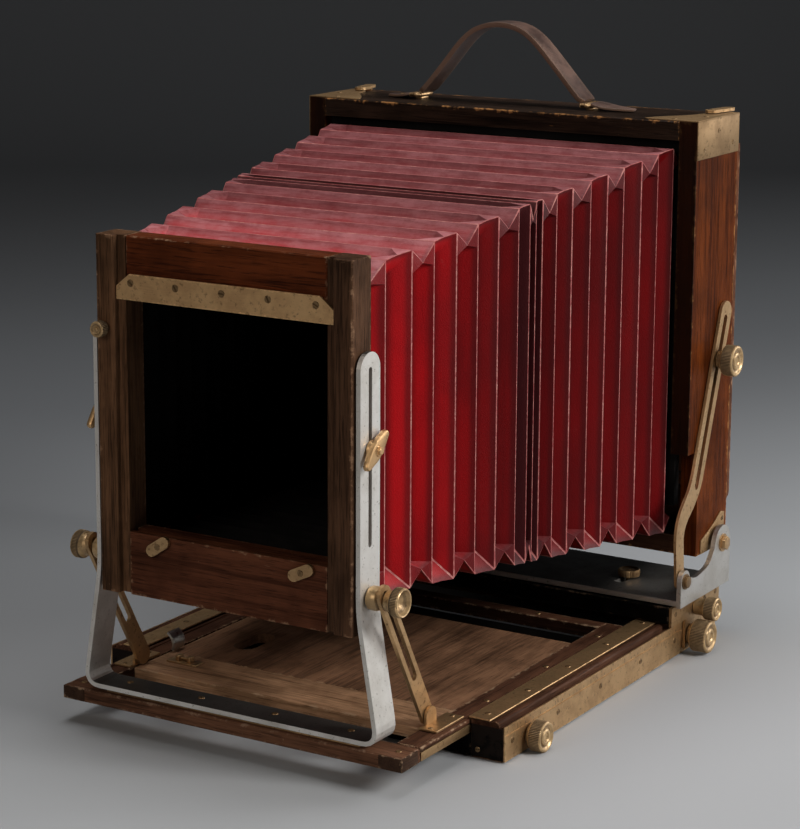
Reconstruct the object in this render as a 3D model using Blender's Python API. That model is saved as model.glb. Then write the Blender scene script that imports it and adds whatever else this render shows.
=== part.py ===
"""Large format view camera: wooden folding bed, sliding front bed, metal yokes, red bellows.

Axes: -Y towards the lens, +Z up, +X to the right seen from the lens side, where the focusing
knobs are. The origin is the middle of the bed's underside. All values below are in millimetres.
"""
import math

import bmesh
import bpy
from mathutils import Vector

MM = 0.001
GAP = 0.3                    # between pieces that rest on each other

# bed
BED_FRONT, BED_REAR = -156.25, 156.5
BED_INNER, BED_OUTER = 129.0, 153.3
RAIL_TOP = 24.7
TOP_PLATE_THICK = 1.1
SIDE_PLATE_THICK = 1.1
FLOOR_TOP = 14.2             # cross bars and tripod block carry the sliding bed

# sliding front bed
SLED_FRONT, SLED_REAR = -238.5, 66.5
SLED_HALF = 128.0
SLED_INNER = 111.0
SLED_LOW, SLED_TOP = 14.6, 23.8
SLED_RAIL_DEEP = 22.0

# front standard
STANDARD_FRONT, STANDARD_BACK = -240.5, -219.0
STANDARD_LOW, STANDARD_TOP = 94.0, 322.6
STANDARD_HALF = 94.0
STILE_WIDTH = 13.7
PANEL_FRONT = -236.0
OPENING_HALF = 74.0
OPENING_LOW, OPENING_TOP = 134.0, 283.0

# front yoke and its braces
YOKE_Y, YOKE_WIDTH, YOKE_THICK = -227.5, 22.0, 3.0
YOKE_HALF = 97.0             # to the middle of the strip
YOKE_TOP = 267.0
YOKE_FLOOR = 28.0
YOKE_HINGE_Z = 25.0
STUD_Z = 208.0
BRACE_KNOB_Z = 117.0
BRACE_FOOT_Y, BRACE_FOOT_Z = -178.5, 30.5
BRACE_IN, BRACE_OUT = 108.0, 110.6
BRACE_REACH = 4.2            # slot beyond the knob's resting place

# rear carriage and yoke
CARRIAGE_FRONT, CARRIAGE_REAR = 77.5, 156.5
CARRIAGE_LOW, CARRIAGE_TOP = 26.6, 38.9
SWING_Y = 117.0
YOKE_BASE_LOW, YOKE_BASE_TOP = 39.6, 43.6
EAR_IN, EAR_OUT = 158.7, 162.0
TILT_Y, TILT_Z = 146.0, 71.0
STAY_FOOT_Y, STAY_FOOT_Z = 84.5, 57.5

# rear frame
REAR_FRONT, REAR_BACK = 96.5, 164.5
REAR_HALF, REAR_WALL = 155.5, 13.0
REAR_LOW, REAR_STEP, REAR_TOP = 67.0, 143.6, 374.4
STEP_FRONT = 114.5           # the side boards' front edge below the step
STAY_ANGLE = math.radians(19.8)
STAY_IN, STAY_OUT = 156.1, 158.1
STAY_SLOT_START, STAY_STUD, STAY_SLOT_END = 67.0, 157.0, 186.0

# bellows
BELLOWS_FRONT, BELLOWS_BACK = -218.6, 104.0
PLEATS = 18
PLEAT_DEPTH = 11.0
BELLOWS_WALL = 1.6


# ---------- materials ----------

def make_material(name, colour, roughness, metallic=0.0):
    material = bpy.data.materials.new(name)
    material.use_nodes = True
    shader = material.node_tree.nodes["Principled BSDF"]
    shader.inputs["Base Color"].default_value = (*colour, 1.0)
    shader.inputs["Roughness"].default_value = roughness
    shader.inputs["Metallic"].default_value = metallic
    return material


# ---------- shapes ----------

def arc(centre, radius, start, end, steps):
    """Points along an arc, angles in degrees."""
    points = []
    for i in range(steps + 1):
        angle = math.radians(start + (end - start) * i / steps)
        points.append((centre[0] + radius * math.cos(angle), centre[1] + radius * math.sin(angle)))
    return points


def rounded_path(corners, reach, steps=6):
    """A polyline whose inner corners are replaced by smooth bends."""
    path = [Vector(corners[0])]
    for before, corner, after in zip(corners, corners[1:], corners[2:]):
        corner = Vector(corner)
        start = corner + (Vector(before) - corner).normalized() * reach
        end = corner + (Vector(after) - corner).normalized() * reach
        for i in range(steps + 1):
            t = i / steps
            path.append(start * (1 - t) ** 2 + corner * 2 * t * (1 - t) + end * t ** 2)
    path.append(Vector(corners[-1]))
    return path


def ribbon(path, widths):
    """The closed outline of a strip that follows a path; widths is one number or one per point."""
    if not hasattr(widths, "__len__"):
        widths = [widths] * len(path)
    left, right = [], []
    for i, point in enumerate(path):
        ahead = path[min(i + 1, len(path) - 1)] - path[max(i - 1, 0)]
        side = Vector((-ahead.y, ahead.x)).normalized() * widths[i] / 2
        left.append(point + side)
        right.append(point - side)
    return [tuple(p) for p in left + right[::-1]]


def place(axis, along, u, v):
    """A point from its distance along an axis and its two other coordinates in X, Y, Z order."""
    if axis == "X":
        return Vector((along, u, v))
    if axis == "Y":
        return Vector((u, along, v))
    return Vector((u, v, along))


def prism_mesh(outline, axis, start, end):
    """A flat outline extruded along an axis."""
    mesh = bmesh.new()
    verts = [mesh.verts.new(place(axis, start, u, v)) for u, v in outline]
    face = mesh.faces.new(verts)
    grown = bmesh.ops.extrude_face_region(mesh, geom=[face])["geom"]
    moved = [part for part in grown if isinstance(part, bmesh.types.BMVert)]
    bmesh.ops.translate(mesh, verts=moved, vec=place(axis, end - start, 0, 0))
    bmesh.ops.recalc_face_normals(mesh, faces=mesh.faces)
    return mesh


def box_mesh(low, high, edge=0.0):
    """A box between two corners, with its edges eased."""
    mesh = bmesh.new()
    low, high = Vector(low), Vector(high)
    bmesh.ops.create_cube(mesh, size=1.0)
    for vert in mesh.verts:
        share = vert.co + Vector((0.5, 0.5, 0.5))
        vert.co = Vector(low[i] + (high[i] - low[i]) * share[i] for i in range(3))
    if edge:
        bmesh.ops.bevel(mesh, geom=mesh.edges[:], offset=edge, segments=1, profile=0.5,
                        affect='EDGES', material=-1)
    return mesh


def lathe_mesh(profile, axis, centre, segments=28):
    """A profile of (distance along the axis, radius) turned once round the axis."""
    mesh = bmesh.new()
    turn = {"X": Vector((1, 0, 0)), "Y": Vector((0, 1, 0)), "Z": Vector((0, 0, 1))}[axis]
    edges = []
    last = None
    for along, radius in profile:
        vert = mesh.verts.new(place(axis, along, centre[0] + radius, centre[1]))
        if last:
            edges.append(mesh.edges.new((last, vert)))
        last = vert
    bmesh.ops.spin(mesh, geom=mesh.verts[:] + edges, cent=place(axis, 0, *centre), axis=turn,
                   angle=2 * math.pi, steps=segments, use_merge=True)
    bmesh.ops.remove_doubles(mesh, verts=mesh.verts, dist=0.001)
    bmesh.ops.recalc_face_normals(mesh, faces=mesh.faces)
    return mesh


def slot_outline(start, end, width, steps=6):
    """A slot with round ends between two points."""
    start, end = Vector(start), Vector(end)
    heading = math.degrees(math.atan2(end.y - start.y, end.x - start.x))
    return (arc(end, width / 2, heading - 90, heading + 90, steps)
            + arc(start, width / 2, heading + 90, heading + 270, steps))


def mirror_mesh(mesh):
    """The same shape on the camera's other side."""
    other = mesh.copy()
    bmesh.ops.scale(other, vec=(-1, 1, 1), verts=other.verts)
    bmesh.ops.reverse_faces(other, faces=other.faces)
    return other


# ---------- objects ----------

def add_object(name, mesh, material, pivot=(0, 0, 0), smooth=False):
    """A named object whose origin is its joint's point; the mesh is given in millimetres."""
    pivot = Vector(pivot)
    bmesh.ops.translate(mesh, verts=mesh.verts, vec=-pivot)
    bmesh.ops.scale(mesh, vec=(MM, MM, MM), verts=mesh.verts)
    data = bpy.data.meshes.new(name)
    mesh.to_mesh(data)
    mesh.free()
    if smooth:
        data.shade_smooth()
        data.set_sharp_from_angle(angle=math.radians(35))
    if material:
        data.materials.append(material)
    item = bpy.data.objects.new(name, data)
    item.location = pivot * MM
    bpy.context.scene.collection.objects.link(item)
    return item


def combine(item, mesh, operation="DIFFERENCE"):
    """Cuts a helper shape from an object, or joins it on."""
    helper = add_object(item.name + "_helper", mesh, None)
    helper.hide_render = True
    helper.display_type = 'WIRE'
    modifier = item.modifiers.new(operation.lower(), 'BOOLEAN')
    modifier.operation = operation
    modifier.solver = 'EXACT'
    modifier.object = helper


def add_pair(name, mesh, material, pivot=(0, 0, 0), smooth=False):
    """A right piece (+X) and its mirrored left piece."""
    other = mirror_mesh(mesh)
    right = add_object(name + "_right", mesh, material, pivot, smooth)
    left = add_object(name + "_left", other, material, (-pivot[0], pivot[1], pivot[2]), smooth)
    return right, left


def combine_pair(pair, mesh, operation="DIFFERENCE"):
    other = mirror_mesh(mesh)
    combine(pair[0], mesh, operation)
    combine(pair[1], other, operation)


# ---------- the bed ----------

def build_bed(wood, black, brass):
    rail = [(BED_INNER, 0.8), (BED_INNER + 0.8, 0), (151.1, 0), (151.9, 0.8), (151.9, 22.9),
            (150.6, 22.9), (150.4, 21.6), (149.0, 21.6)]
    rail += arc((145.8, 22.8), 2.9, 0, 130, 5)
    rail += [(142.8, RAIL_TOP), (BED_INNER, RAIL_TOP)]
    rails = add_pair("bed_rail", prism_mesh(rail, "Y", BED_FRONT, BED_REAR), wood)

    plate_low = RAIL_TOP + GAP
    plate = box_mesh((127.0, BED_FRONT, plate_low), (142.5, BED_REAR, plate_low + TOP_PLATE_THICK), 0.3)
    add_pair("rail_top_plate", plate, brass)

    outer = BED_OUTER
    inner = outer - SIDE_PLATE_THICK
    side = [(inner, 0.5), (outer, 0.5), (outer, 17.1), (outer - 0.5, 17.3), (outer - 0.5, 17.7),
            (outer - 0.2, 17.9), (outer - 0.2, 23.0), (inner, 23.0)]
    sides = add_pair("rail_side_plate", prism_mesh(side, "Y", BED_FRONT, BED_REAR), brass)

    half = BED_INNER - GAP
    front_bar = box_mesh((-half, BED_FRONT, 0), (half, BED_FRONT + 10.5, FLOOR_TOP), 0.8)
    add_object("bed_front_bar", front_bar, black)
    rear_bar = box_mesh((-half, BED_REAR - 10.5, 0), (half, BED_REAR, FLOOR_TOP), 0.8)
    add_object("bed_rear_bar", rear_bar, wood)
    add_object("tripod_block", box_mesh((-half, -55, 0), (half, 55, FLOOR_TOP), 0.8), wood)

    shaft_y, shaft_z = -124.5, 9.5
    hole = lathe_mesh([(120, 0), (120, 3.3), (160, 3.3), (160, 0)], "X", (shaft_y, shaft_z), 16)
    combine_pair(rails, hole.copy())
    combine_pair(sides, hole)
    profile = [(-151, 0), (-151, 3), (153.8, 3), (153.8, 7), (156.2, 7), (156.6, 9.6), (157.2, 10),
               (164.4, 10), (165.2, 9.4), (165.2, 8.2), (164.4, 7.4), (164.4, 4), (165.6, 3.2), (165.6, 0)]
    knob = lathe_mesh(profile, "X", (shaft_y, shaft_z))
    add_object("front_focus_knob", knob, brass, (160, shaft_y, shaft_z), smooth=True)


# ---------- the sliding front bed ----------

def build_sled(wood, brass, steel):
    front_bar = box_mesh((-SLED_HALF, SLED_FRONT, SLED_LOW),
                         (SLED_HALF, SLED_FRONT + SLED_RAIL_DEEP, SLED_TOP), 0.8)
    add_object("sled_front_rail", front_bar, wood)

    rail_front = SLED_FRONT + SLED_RAIL_DEEP + GAP
    rail = [(SLED_INNER, SLED_LOW), (126.8, SLED_LOW), (126.8, 21.3), (127.9, 21.5), (127.9, 23.1),
            (127.2, SLED_TOP), (124.4, SLED_TOP), (124.2, 23.0), (123.4, 23.0), (123.2, SLED_TOP),
            (SLED_INNER, SLED_TOP)]
    add_pair("sled_rail", prism_mesh(rail, "Y", rail_front, SLED_REAR), wood)

    half = SLED_INNER - GAP
    add_object("sled_cross_board", box_mesh((-half, -186.5, 16), (half, -145.8, 23.4), 0.6), wood)
    panel = add_object("sled_panel", box_mesh((-half, -145.4, 16.5), (half, 15.5, 23.1), 0.5), wood)
    hole = slot_outline((-75, -108), (-75, -87), 17)
    combine(panel, prism_mesh(hole, "Z", 10, 30))
    add_object("sled_rear_bar", box_mesh((-half, 54.5, 15), (half, SLED_REAR, SLED_TOP), 0.6), wood)

    foot_low = SLED_TOP + GAP
    foot = box_mesh((111.0, -190.5, foot_low), (124, -156.5, foot_low + 1.4), 0.3)
    feet = add_pair("brace_foot", foot, brass)
    ear = arc((BRACE_FOOT_Y, BRACE_FOOT_Z), 6, 0, 180, 8)
    ear += [(BRACE_FOOT_Y - 6, foot_low + 0.5), (BRACE_FOOT_Y + 6, foot_low + 0.5)]
    combine_pair(feet, prism_mesh(ear, "X", 111.2, 113.2), "UNION")

    bend = arc((-116.2, 28.6), 9, -24, 62, 8)
    lever = ribbon([Vector(point) for point in bend], 1.6)
    add_object("catch_lever", prism_mesh(lever, "Y", -147.5, -135), steel, (-108, -141, 25.2), smooth=True)


# ---------- the front yoke, its braces and clamps ----------

def build_front_yoke(aluminium, brass):
    flare = (YOKE_HALF + 13.2, YOKE_FLOOR)
    bend = (YOKE_HALF, 107.0)
    right = [(0, YOKE_FLOOR), flare, bend, (YOKE_HALF, YOKE_TOP)]
    half = rounded_path(right, 11.0)
    path = [Vector((-p.x, p.y)) for p in half[:0:-1]] + half
    body = prism_mesh(ribbon(path, YOKE_THICK), "Y", YOKE_Y - YOKE_WIDTH / 2, YOKE_Y + YOKE_WIDTH / 2)
    tips = [e for e in body.edges if all(v.co.z > YOKE_TOP - 0.1 for v in e.verts)
            and abs(e.verts[0].co.x - e.verts[1].co.x) > 1]
    bmesh.ops.bevel(body, geom=tips, offset=YOKE_WIDTH / 2 - 0.2, segments=8, profile=0.5,
                    affect='EDGES', material=-1)
    yoke = add_object("front_yoke", body, aluminium, (0, YOKE_Y, YOKE_HINGE_Z), smooth=True)
    slot = slot_outline((YOKE_Y, 150), (YOKE_Y, 256), 3.8)
    for side in (-1, 1):
        cutter = prism_mesh(slot, "X", side * 93, side * 101)
        combine(yoke, cutter)
        hole = lathe_mesh([(92, 0), (92, 2.4), (104, 2.4), (104, 0)], "X", (YOKE_Y, BRACE_KNOB_Z), 16)
        combine(yoke, hole if side > 0 else mirror_mesh(hole))

    foot = Vector((BRACE_FOOT_Y, BRACE_FOOT_Z))
    stud = Vector((YOKE_Y, BRACE_KNOB_Z))
    run = (stud - foot).normalized()
    bar = slot_outline(foot, stud + run * BRACE_REACH, 12.5, 8)
    braces = add_pair("brace", prism_mesh(bar, "X", BRACE_IN, BRACE_OUT), brass,
                      (109.3, BRACE_FOOT_Y, BRACE_FOOT_Z), smooth=True)
    window = slot_outline(foot + run * 34, stud + run * BRACE_REACH, 5.6)
    combine_pair(braces, prism_mesh(window, "X", 106, 112))

    profile = [(94.6, 0), (94.6, 2.0), (98.8, 2.0), (98.8, 6.0), (99.6, 6.7), (102, 6.2), (105, 6.7),
               (107, 6.7), (107.6, 6), (107.6, 2.0), (111, 2.0), (111, 6), (112, 6.4), (113.4, 9),
               (114.2, 9.4), (121.6, 9.4), (122.6, 8.8), (122.6, 7.4), (120.4, 4.4), (120.4, 2.4),
               (121.2, 1.8), (121.2, 0)]
    knob = lathe_mesh(profile, "X", (YOKE_Y, BRACE_KNOB_Z))
    add_pair("brace_knob", knob, brass, (110, YOKE_Y, BRACE_KNOB_Z), smooth=True)

    profile = [(88.4, 0), (88.4, 1.5), (94.3, 1.5), (94.3, 6.5), (95.1, 6.5), (95.1, 1.5), (104, 1.5),
               (104, 0)]
    stud_mesh = lathe_mesh(profile, "X", (YOKE_Y, STUD_Z), 20)
    add_pair("slide_stud", stud_mesh, brass, (95, YOKE_Y, STUD_Z), smooth=True)

    profile = [(98.9, 1.9), (98.9, 6.6), (99.8, 6.6), (99.8, 5.4), (104.5, 4.2), (106.2, 3.2), (106.6, 1.9),
               (98.9, 1.9)]
    hub = lathe_mesh(profile, "X", (YOKE_Y, STUD_Z), 24)
    nuts = add_pair("wing_nut", hub, brass, (100, YOKE_Y, STUD_Z), smooth=True)
    lean = math.radians(62)
    tip = Vector((math.cos(lean), math.sin(lean))) * 12.5
    centre = Vector((YOKE_Y, STUD_Z))
    wings = prism_mesh(slot_outline(centre - tip, centre + tip, 5.4), "X", 101.2, 104.2)
    combine_pair(nuts, wings, "UNION")
    bore = lathe_mesh([(90, 0), (90, 1.9), (110, 1.9), (110, 0)], "X", (YOKE_Y, STUD_Z), 20)
    combine_pair(nuts, bore)


# ---------- the front frame ----------

def build_front_frame(wood, brass):
    half, back = STANDARD_HALF, STANDARD_BACK
    inner = half - STILE_WIDTH
    stile = [(half, STANDARD_FRONT + 1), (half, back - 1), (half - 1, back), (OPENING_HALF, back),
             (OPENING_HALF, PANEL_FRONT), (inner, PANEL_FRONT), (inner, STANDARD_FRONT + 1),
             (inner + 1, STANDARD_FRONT), (half - 1, STANDARD_FRONT)]
    stiles = add_pair("front_stile", prism_mesh(stile, "Z", STANDARD_LOW, STANDARD_TOP), wood)
    hole = lathe_mesh([(87.8, 0), (87.8, 1.8), (99, 1.8), (99, 0)], "X", (YOKE_Y, STUD_Z), 20)
    combine_pair(stiles, hole)

    rail_half = OPENING_HALF - GAP
    front = PANEL_FRONT - 0.3
    top = box_mesh((-rail_half, front, OPENING_TOP), (rail_half, back, STANDARD_TOP), 0.8)
    add_object("front_top_rail", top, wood)
    low, brim = STANDARD_LOW - 1, OPENING_LOW + 0.6
    groove_front, groove_back, groove_low = -232.5, -228, OPENING_LOW - 2.5
    sill = [(front, low), (back, low), (back, brim), (groove_back, brim), (groove_back, groove_low),
            (groove_front, groove_low), (groove_front, OPENING_LOW), (front, OPENING_LOW)]
    add_object("front_bottom_rail", prism_mesh(sill, "X", -rail_half, rail_half), wood)

    low, high, reach = 282.7, 299.0, inner - 0.4
    plate = [(-reach, low), (reach, low), (reach, high - 8), (reach - 10, high), (10 - reach, high),
             (-reach, high - 8)]
    add_object("lens_board_retainer", prism_mesh(plate, "Y", front - GAP - 1.5, front - GAP), brass)

    for side, x, angle in (("right", 56.0, 25), ("left", -51.0, 34)):
        reach = Vector((math.cos(math.radians(angle)), math.sin(math.radians(angle)))) * 5.8
        centre = Vector((x, 128.0))
        bar = slot_outline(centre - reach, centre + reach, 7.6)
        button = prism_mesh(bar, "Y", front - GAP - 2.4, front - GAP)
        add_object("turn_button_" + side, button, brass, (x, front, 128.0), smooth=True)

    face = STANDARD_FRONT - GAP
    profile = [(face, 0), (face, 3.6), (face - 1.4, 3.6), (face - 1.8, 5.2), (face - 7.4, 5.2),
               (face - 8.2, 4.4), (face - 8.2, 3.4), (face - 7.6, 2.8), (face - 7.6, 1.6),
               (face - 8.6, 1.2), (face - 8.6, 0)]
    knob = lathe_mesh(profile, "Y", (-88.0, 264.0), 24)
    add_object("front_lock_knob", knob, brass, (-88.0, face - 4, 264.0), smooth=True)


# ---------- the bellows ----------

def bellows_ring(mesh, y, inset):
    """One square ring of the bellows, tapering from the front frame to the rear frame."""
    share = (y - BELLOWS_FRONT) / (BELLOWS_BACK - BELLOWS_FRONT)
    half = 91.0 + (139.5 - 91.0) * share - inset
    low = 113.0 + (85.5 - 113.0) * share + inset
    high = 315.5 + (356.5 - 315.5) * share - inset
    corners = ((-half, low), (half, low), (half, high), (-half, high))
    return [mesh.verts.new((x, y, z)) for x, z in corners]


def build_bellows(leather):
    mesh = bmesh.new()
    length = BELLOWS_BACK - BELLOWS_FRONT
    outer, inner = [], []
    for i in range(2 * PLEATS + 1):
        y = BELLOWS_FRONT + length * i / (2 * PLEATS)
        inset = 0.0 if i % 2 else PLEAT_DEPTH
        outer.append(bellows_ring(mesh, y, inset))
        inner.append(bellows_ring(mesh, y, inset + BELLOWS_WALL))
    loops = outer + inner[::-1] + [outer[0]]
    for here, there in zip(loops, loops[1:]):
        for i in range(4):
            j = (i + 1) % 4
            mesh.faces.new((here[i], here[j], there[j], there[i]))
    bmesh.ops.recalc_face_normals(mesh, faces=mesh.faces)
    add_object("bellows", mesh, leather)


# ---------- the rear carriage ----------

def build_carriage(black, brass):
    block = box_mesh((-153.2, CARRIAGE_FRONT, CARRIAGE_LOW), (153.2, CARRIAGE_REAR, CARRIAGE_TOP), 0.8)
    carriage = add_object("carriage_block", block, black)
    side_low, bracket_low = 24.6, 3.5
    front, rear = CARRIAGE_FRONT, CARRIAGE_REAR
    side = [(front, side_low), (100.5, side_low), (100.5, bracket_low), (136, bracket_low), (136, side_low),
            (rear, side_low), (rear, 38.6), (front, 38.6)]
    sides = add_pair("carriage_side", prism_mesh(side, "X", 153.6, 155.6), brass)

    focus = (108.5, 12.2)
    lock = (SWING_Y, 30.4)
    for y, z in (focus, lock):
        hole = lathe_mesh([(153, 0), (153, 3.3), (157, 3.3), (157, 0)], "X", (y, z), 16)
        combine(sides[0], hole)
    profile = [(153.9, 0), (153.9, 3), (156, 3), (156, 7.5), (159, 7.5), (159.6, 10.9), (160.4, 11.3),
               (170.6, 11.3), (171.6, 10.6), (171.6, 9.2), (170.8, 8.4), (170.8, 4.6), (172, 3.8), (172, 0)]
    add_object("rear_focus_knob", lathe_mesh(profile, "X", focus), brass, (163, *focus), smooth=True)
    profile = [(153.9, 0), (153.9, 3), (156, 3), (156, 6), (163.6, 6), (164.2, 8), (164.8, 8.3), (171.6, 8.3),
               (172.6, 7.6), (172.6, 6.4), (171.8, 5.6), (171.8, 2), (172.6, 1.4), (172.6, 0)]
    add_object("carriage_lock_knob", lathe_mesh(profile, "X", lock), brass, (163, *lock), smooth=True)

    top = YOKE_BASE_TOP + GAP
    profile = [(30, 0), (30, 2.4), (top, 2.4), (top, 6), (top + 0.8, 7.8), (top + 5, 8), (top + 5.8, 7.2),
               (top + 5.8, 5.6), (top + 5, 4.8), (top + 5, 0)]
    nut = lathe_mesh(profile, "Z", (103, SWING_Y), 24)
    add_pair("swing_nut", nut, brass, (103, SWING_Y, top), smooth=True)
    well = lathe_mesh([(28, 0), (28, 2.8), (45, 2.8), (45, 0)], "Z", (103, SWING_Y), 16)
    combine(carriage, well.copy())
    combine(carriage, mirror_mesh(well))
    well.free()


# ---------- the rear yoke ----------

def build_rear_yoke(aluminium):
    base = box_mesh((-160, 80, YOKE_BASE_LOW), (160, 158.5, YOKE_BASE_TOP), 0.4)
    yoke = add_object("rear_yoke", base, aluminium, (0, SWING_Y, YOKE_BASE_LOW))
    front_lobe, rear_lobe = 7.0, 12.8
    ear = [(STAY_FOOT_Y - front_lobe, YOKE_BASE_LOW), (TILT_Y + rear_lobe, YOKE_BASE_LOW)]
    ear += arc((TILT_Y, TILT_Z), rear_lobe, 0, 160, 10)
    dip = [(TILT_Y - 13.6, 70), (TILT_Y - 22, 59.5), (STAY_FOOT_Y + 16, 55.5), (STAY_FOOT_Y + 7, 59)]
    hollow = rounded_path(dip, 7, 4)
    ear += [tuple(p) for p in hollow]
    ear += arc((STAY_FOOT_Y, STAY_FOOT_Z + 1), front_lobe, 15, 180, 8)
    blade = prism_mesh(ear, "X", EAR_IN, EAR_OUT)
    combine(yoke, mirror_mesh(blade), "UNION")
    combine(yoke, blade, "UNION")
    for side in (-1, 1):
        middle = [Vector(p) for p in arc((0, SWING_Y), 103, -9, 9, 10)]
        window = ribbon([Vector((side * p.x, p.y)) for p in middle], 6.4)
        combine(yoke, prism_mesh(window, "Z", 35, 50))


# ---------- the rear frame ----------

def build_rear_frame(wood, brass):
    side = [(REAR_FRONT, REAR_STEP), (STEP_FRONT, REAR_STEP), (STEP_FRONT, REAR_LOW), (REAR_BACK, REAR_LOW),
            (REAR_BACK, REAR_TOP), (REAR_FRONT, REAR_TOP)]
    wall = REAR_HALF - REAR_WALL
    sides = add_pair("rear_side", prism_mesh(side, "X", wall, REAR_HALF), wood)
    half = wall - GAP
    ceiling, floor = REAR_TOP - REAR_WALL, REAR_LOW + REAR_WALL
    lip = REAR_BACK - 9.0
    top = [(REAR_FRONT, ceiling), (lip, ceiling), (lip, 345), (REAR_BACK, 345), (REAR_BACK, REAR_TOP),
           (REAR_FRONT + 0.8, REAR_TOP), (REAR_FRONT, REAR_TOP - 0.8)]
    add_object("rear_top_board", prism_mesh(top, "X", -half, half), wood)
    bottom = [(STEP_FRONT, REAR_LOW), (REAR_BACK, REAR_LOW), (REAR_BACK, 104), (lip, 104), (lip, floor),
              (STEP_FRONT, floor)]
    add_object("rear_bottom_rail", prism_mesh(bottom, "X", -half, half), wood)

    along = Vector((math.sin(STAY_ANGLE), math.cos(STAY_ANGLE)))
    foot = Vector((STAY_FOOT_Y, STAY_FOOT_Z))
    stud = foot + along * STAY_STUD
    corners = [foot, foot + Vector((-3.5, 40)), foot + along * (STAY_SLOT_START - 3)]
    path = rounded_path([foot, corners[1], corners[2], foot + along * (STAY_SLOT_END + 4)], 14, 8)
    widths = [12 + 5 * min(1, max(0, (p.y - foot.y - 30) / 35)) for p in path]
    stays = add_pair("rear_stay", prism_mesh(ribbon(path, widths), "X", STAY_IN, STAY_OUT), brass,
                     (157, STAY_FOOT_Y, STAY_FOOT_Z), smooth=True)
    for centre, radius in ((foot, 6.0), (path[-1], 8.5)):
        disc = lathe_mesh([(STAY_IN, 0), (STAY_IN, radius), (STAY_OUT, radius), (STAY_OUT, 0)], "X", centre)
        combine_pair(stays, disc, "UNION")
    window = slot_outline(foot + along * STAY_SLOT_START, foot + along * STAY_SLOT_END, 5.6)
    combine_pair(stays, prism_mesh(window, "X", 154, 160))

    hole = lathe_mesh([(147, 0), (147, 2.4), (158, 2.4), (158, 0)], "X", stud, 16)
    combine_pair(sides, hole)
    profile = [(148, 0), (148, 1.9), (158.6, 1.9), (158.6, 6.4), (161.4, 6.4), (161.8, 10.8), (162.6, 11.2),
               (171.4, 11.2), (172.4, 10.4), (172.4, 9), (171.6, 8.2), (171.6, 4.2), (172.6, 3.4), (172.6, 0)]
    add_pair("stay_knob", lathe_mesh(profile, "X", stud), brass, (160, *stud), smooth=True)


def build_back(wood, glass, brass, leather):
    """The back lifts off the rear frame; its ground glass frame springs out for the film holder."""
    front, rear = REAR_BACK + GAP, 179.0
    outline = [(-151, 104)] + arc((-141, 100), 10, 180, 270, 5) + arc((141, 100), 10, 270, 360, 5)
    outline += [(151, 104), (151, 352), (-151, 352)]
    back = add_object("back_frame", prism_mesh(outline, "Y", front, rear), wood)
    combine(back, box_mesh((-132, front - 5, 112), (132, rear + 5, 338)))

    frame = box_mesh((-131, front + 1, 113), (131, rear - 1.5, 337), 0.6)
    holder = add_object("ground_glass_frame", frame, wood)
    combine(holder, box_mesh((-112, front - 5, 132), (112, rear + 5, 318)))
    pane = box_mesh((-111.6, front + 2, 132.4), (111.6, front + 4.4, 317.6))
    add_object("ground_glass", pane, glass)

    for side, name in ((1, "right"), (-1, "left")):
        centre = Vector((side * 143, 146))
        tip = centre + Vector((side * 4, 21))
        lever = prism_mesh(slot_outline(centre, tip, 8), "Z", REAR_TOP + GAP + 1.2, REAR_TOP + GAP + 3.2)
        add_object("back_latch_" + name, lever, brass, (centre.x, centre.y, REAR_TOP), smooth=True)

    centre_x, centre_y, foot_z = -11.0, 131.5, REAR_TOP + 4.6
    spine = [Vector(p) for p in ((-67, 0), (-62, 2), (-48, 20), (-28, 45), (-12, 52.5), (8, 53), (24, 46),
                                 (46, 22), (62, 2), (67, 0))]
    spine = [p + Vector((centre_x, foot_z)) for p in smooth_spine(spine)]
    strap = prism_mesh(ribbon(spine, 3.6), "Y", centre_y - 10, centre_y + 10)
    add_object("handle_strap", strap, leather, (centre_x, centre_y, foot_z), smooth=True)


def smooth_spine(points):
    """Rounds a polyline twice by cutting its corners."""
    for _ in range(2):
        cut = [points[0]]
        for here, there in zip(points, points[1:]):
            cut += [here.lerp(there, 0.25), here.lerp(there, 0.75)]
        points = cut + [points[-1]]
    return points


def main():
    for item in list(bpy.data.objects):
        bpy.data.objects.remove(item, do_unlink=True)
    wood = make_material("dark_mahogany", (0.115, 0.045, 0.022), 0.45)
    black = make_material("black_lacquer", (0.012, 0.011, 0.011), 0.4)
    brass = make_material("aged_brass", (0.46, 0.33, 0.16), 0.38, 1.0)
    aluminium = make_material("aluminium", (0.62, 0.62, 0.61), 0.42, 1.0)
    bellows_leather = make_material("red_leather", (0.33, 0.018, 0.03), 0.5)
    brown_leather = make_material("brown_leather", (0.075, 0.03, 0.02), 0.6)
    glass = make_material("ground_glass", (0.7, 0.73, 0.72), 0.5)

    build_bed(wood, black, brass)
    build_sled(wood, brass, aluminium)
    build_front_yoke(aluminium, brass)
    build_front_frame(wood, brass)
    build_bellows(bellows_leather)
    build_carriage(black, brass)
    build_rear_yoke(aluminium)
    build_rear_frame(wood, brass)
    build_back(wood, glass, brass, brown_leather)


main()
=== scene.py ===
"""A wooden folding-bed view camera with red bellows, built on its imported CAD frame."""
import math
import random

import bmesh
import bpy
from mathutils import Matrix, Vector


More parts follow.
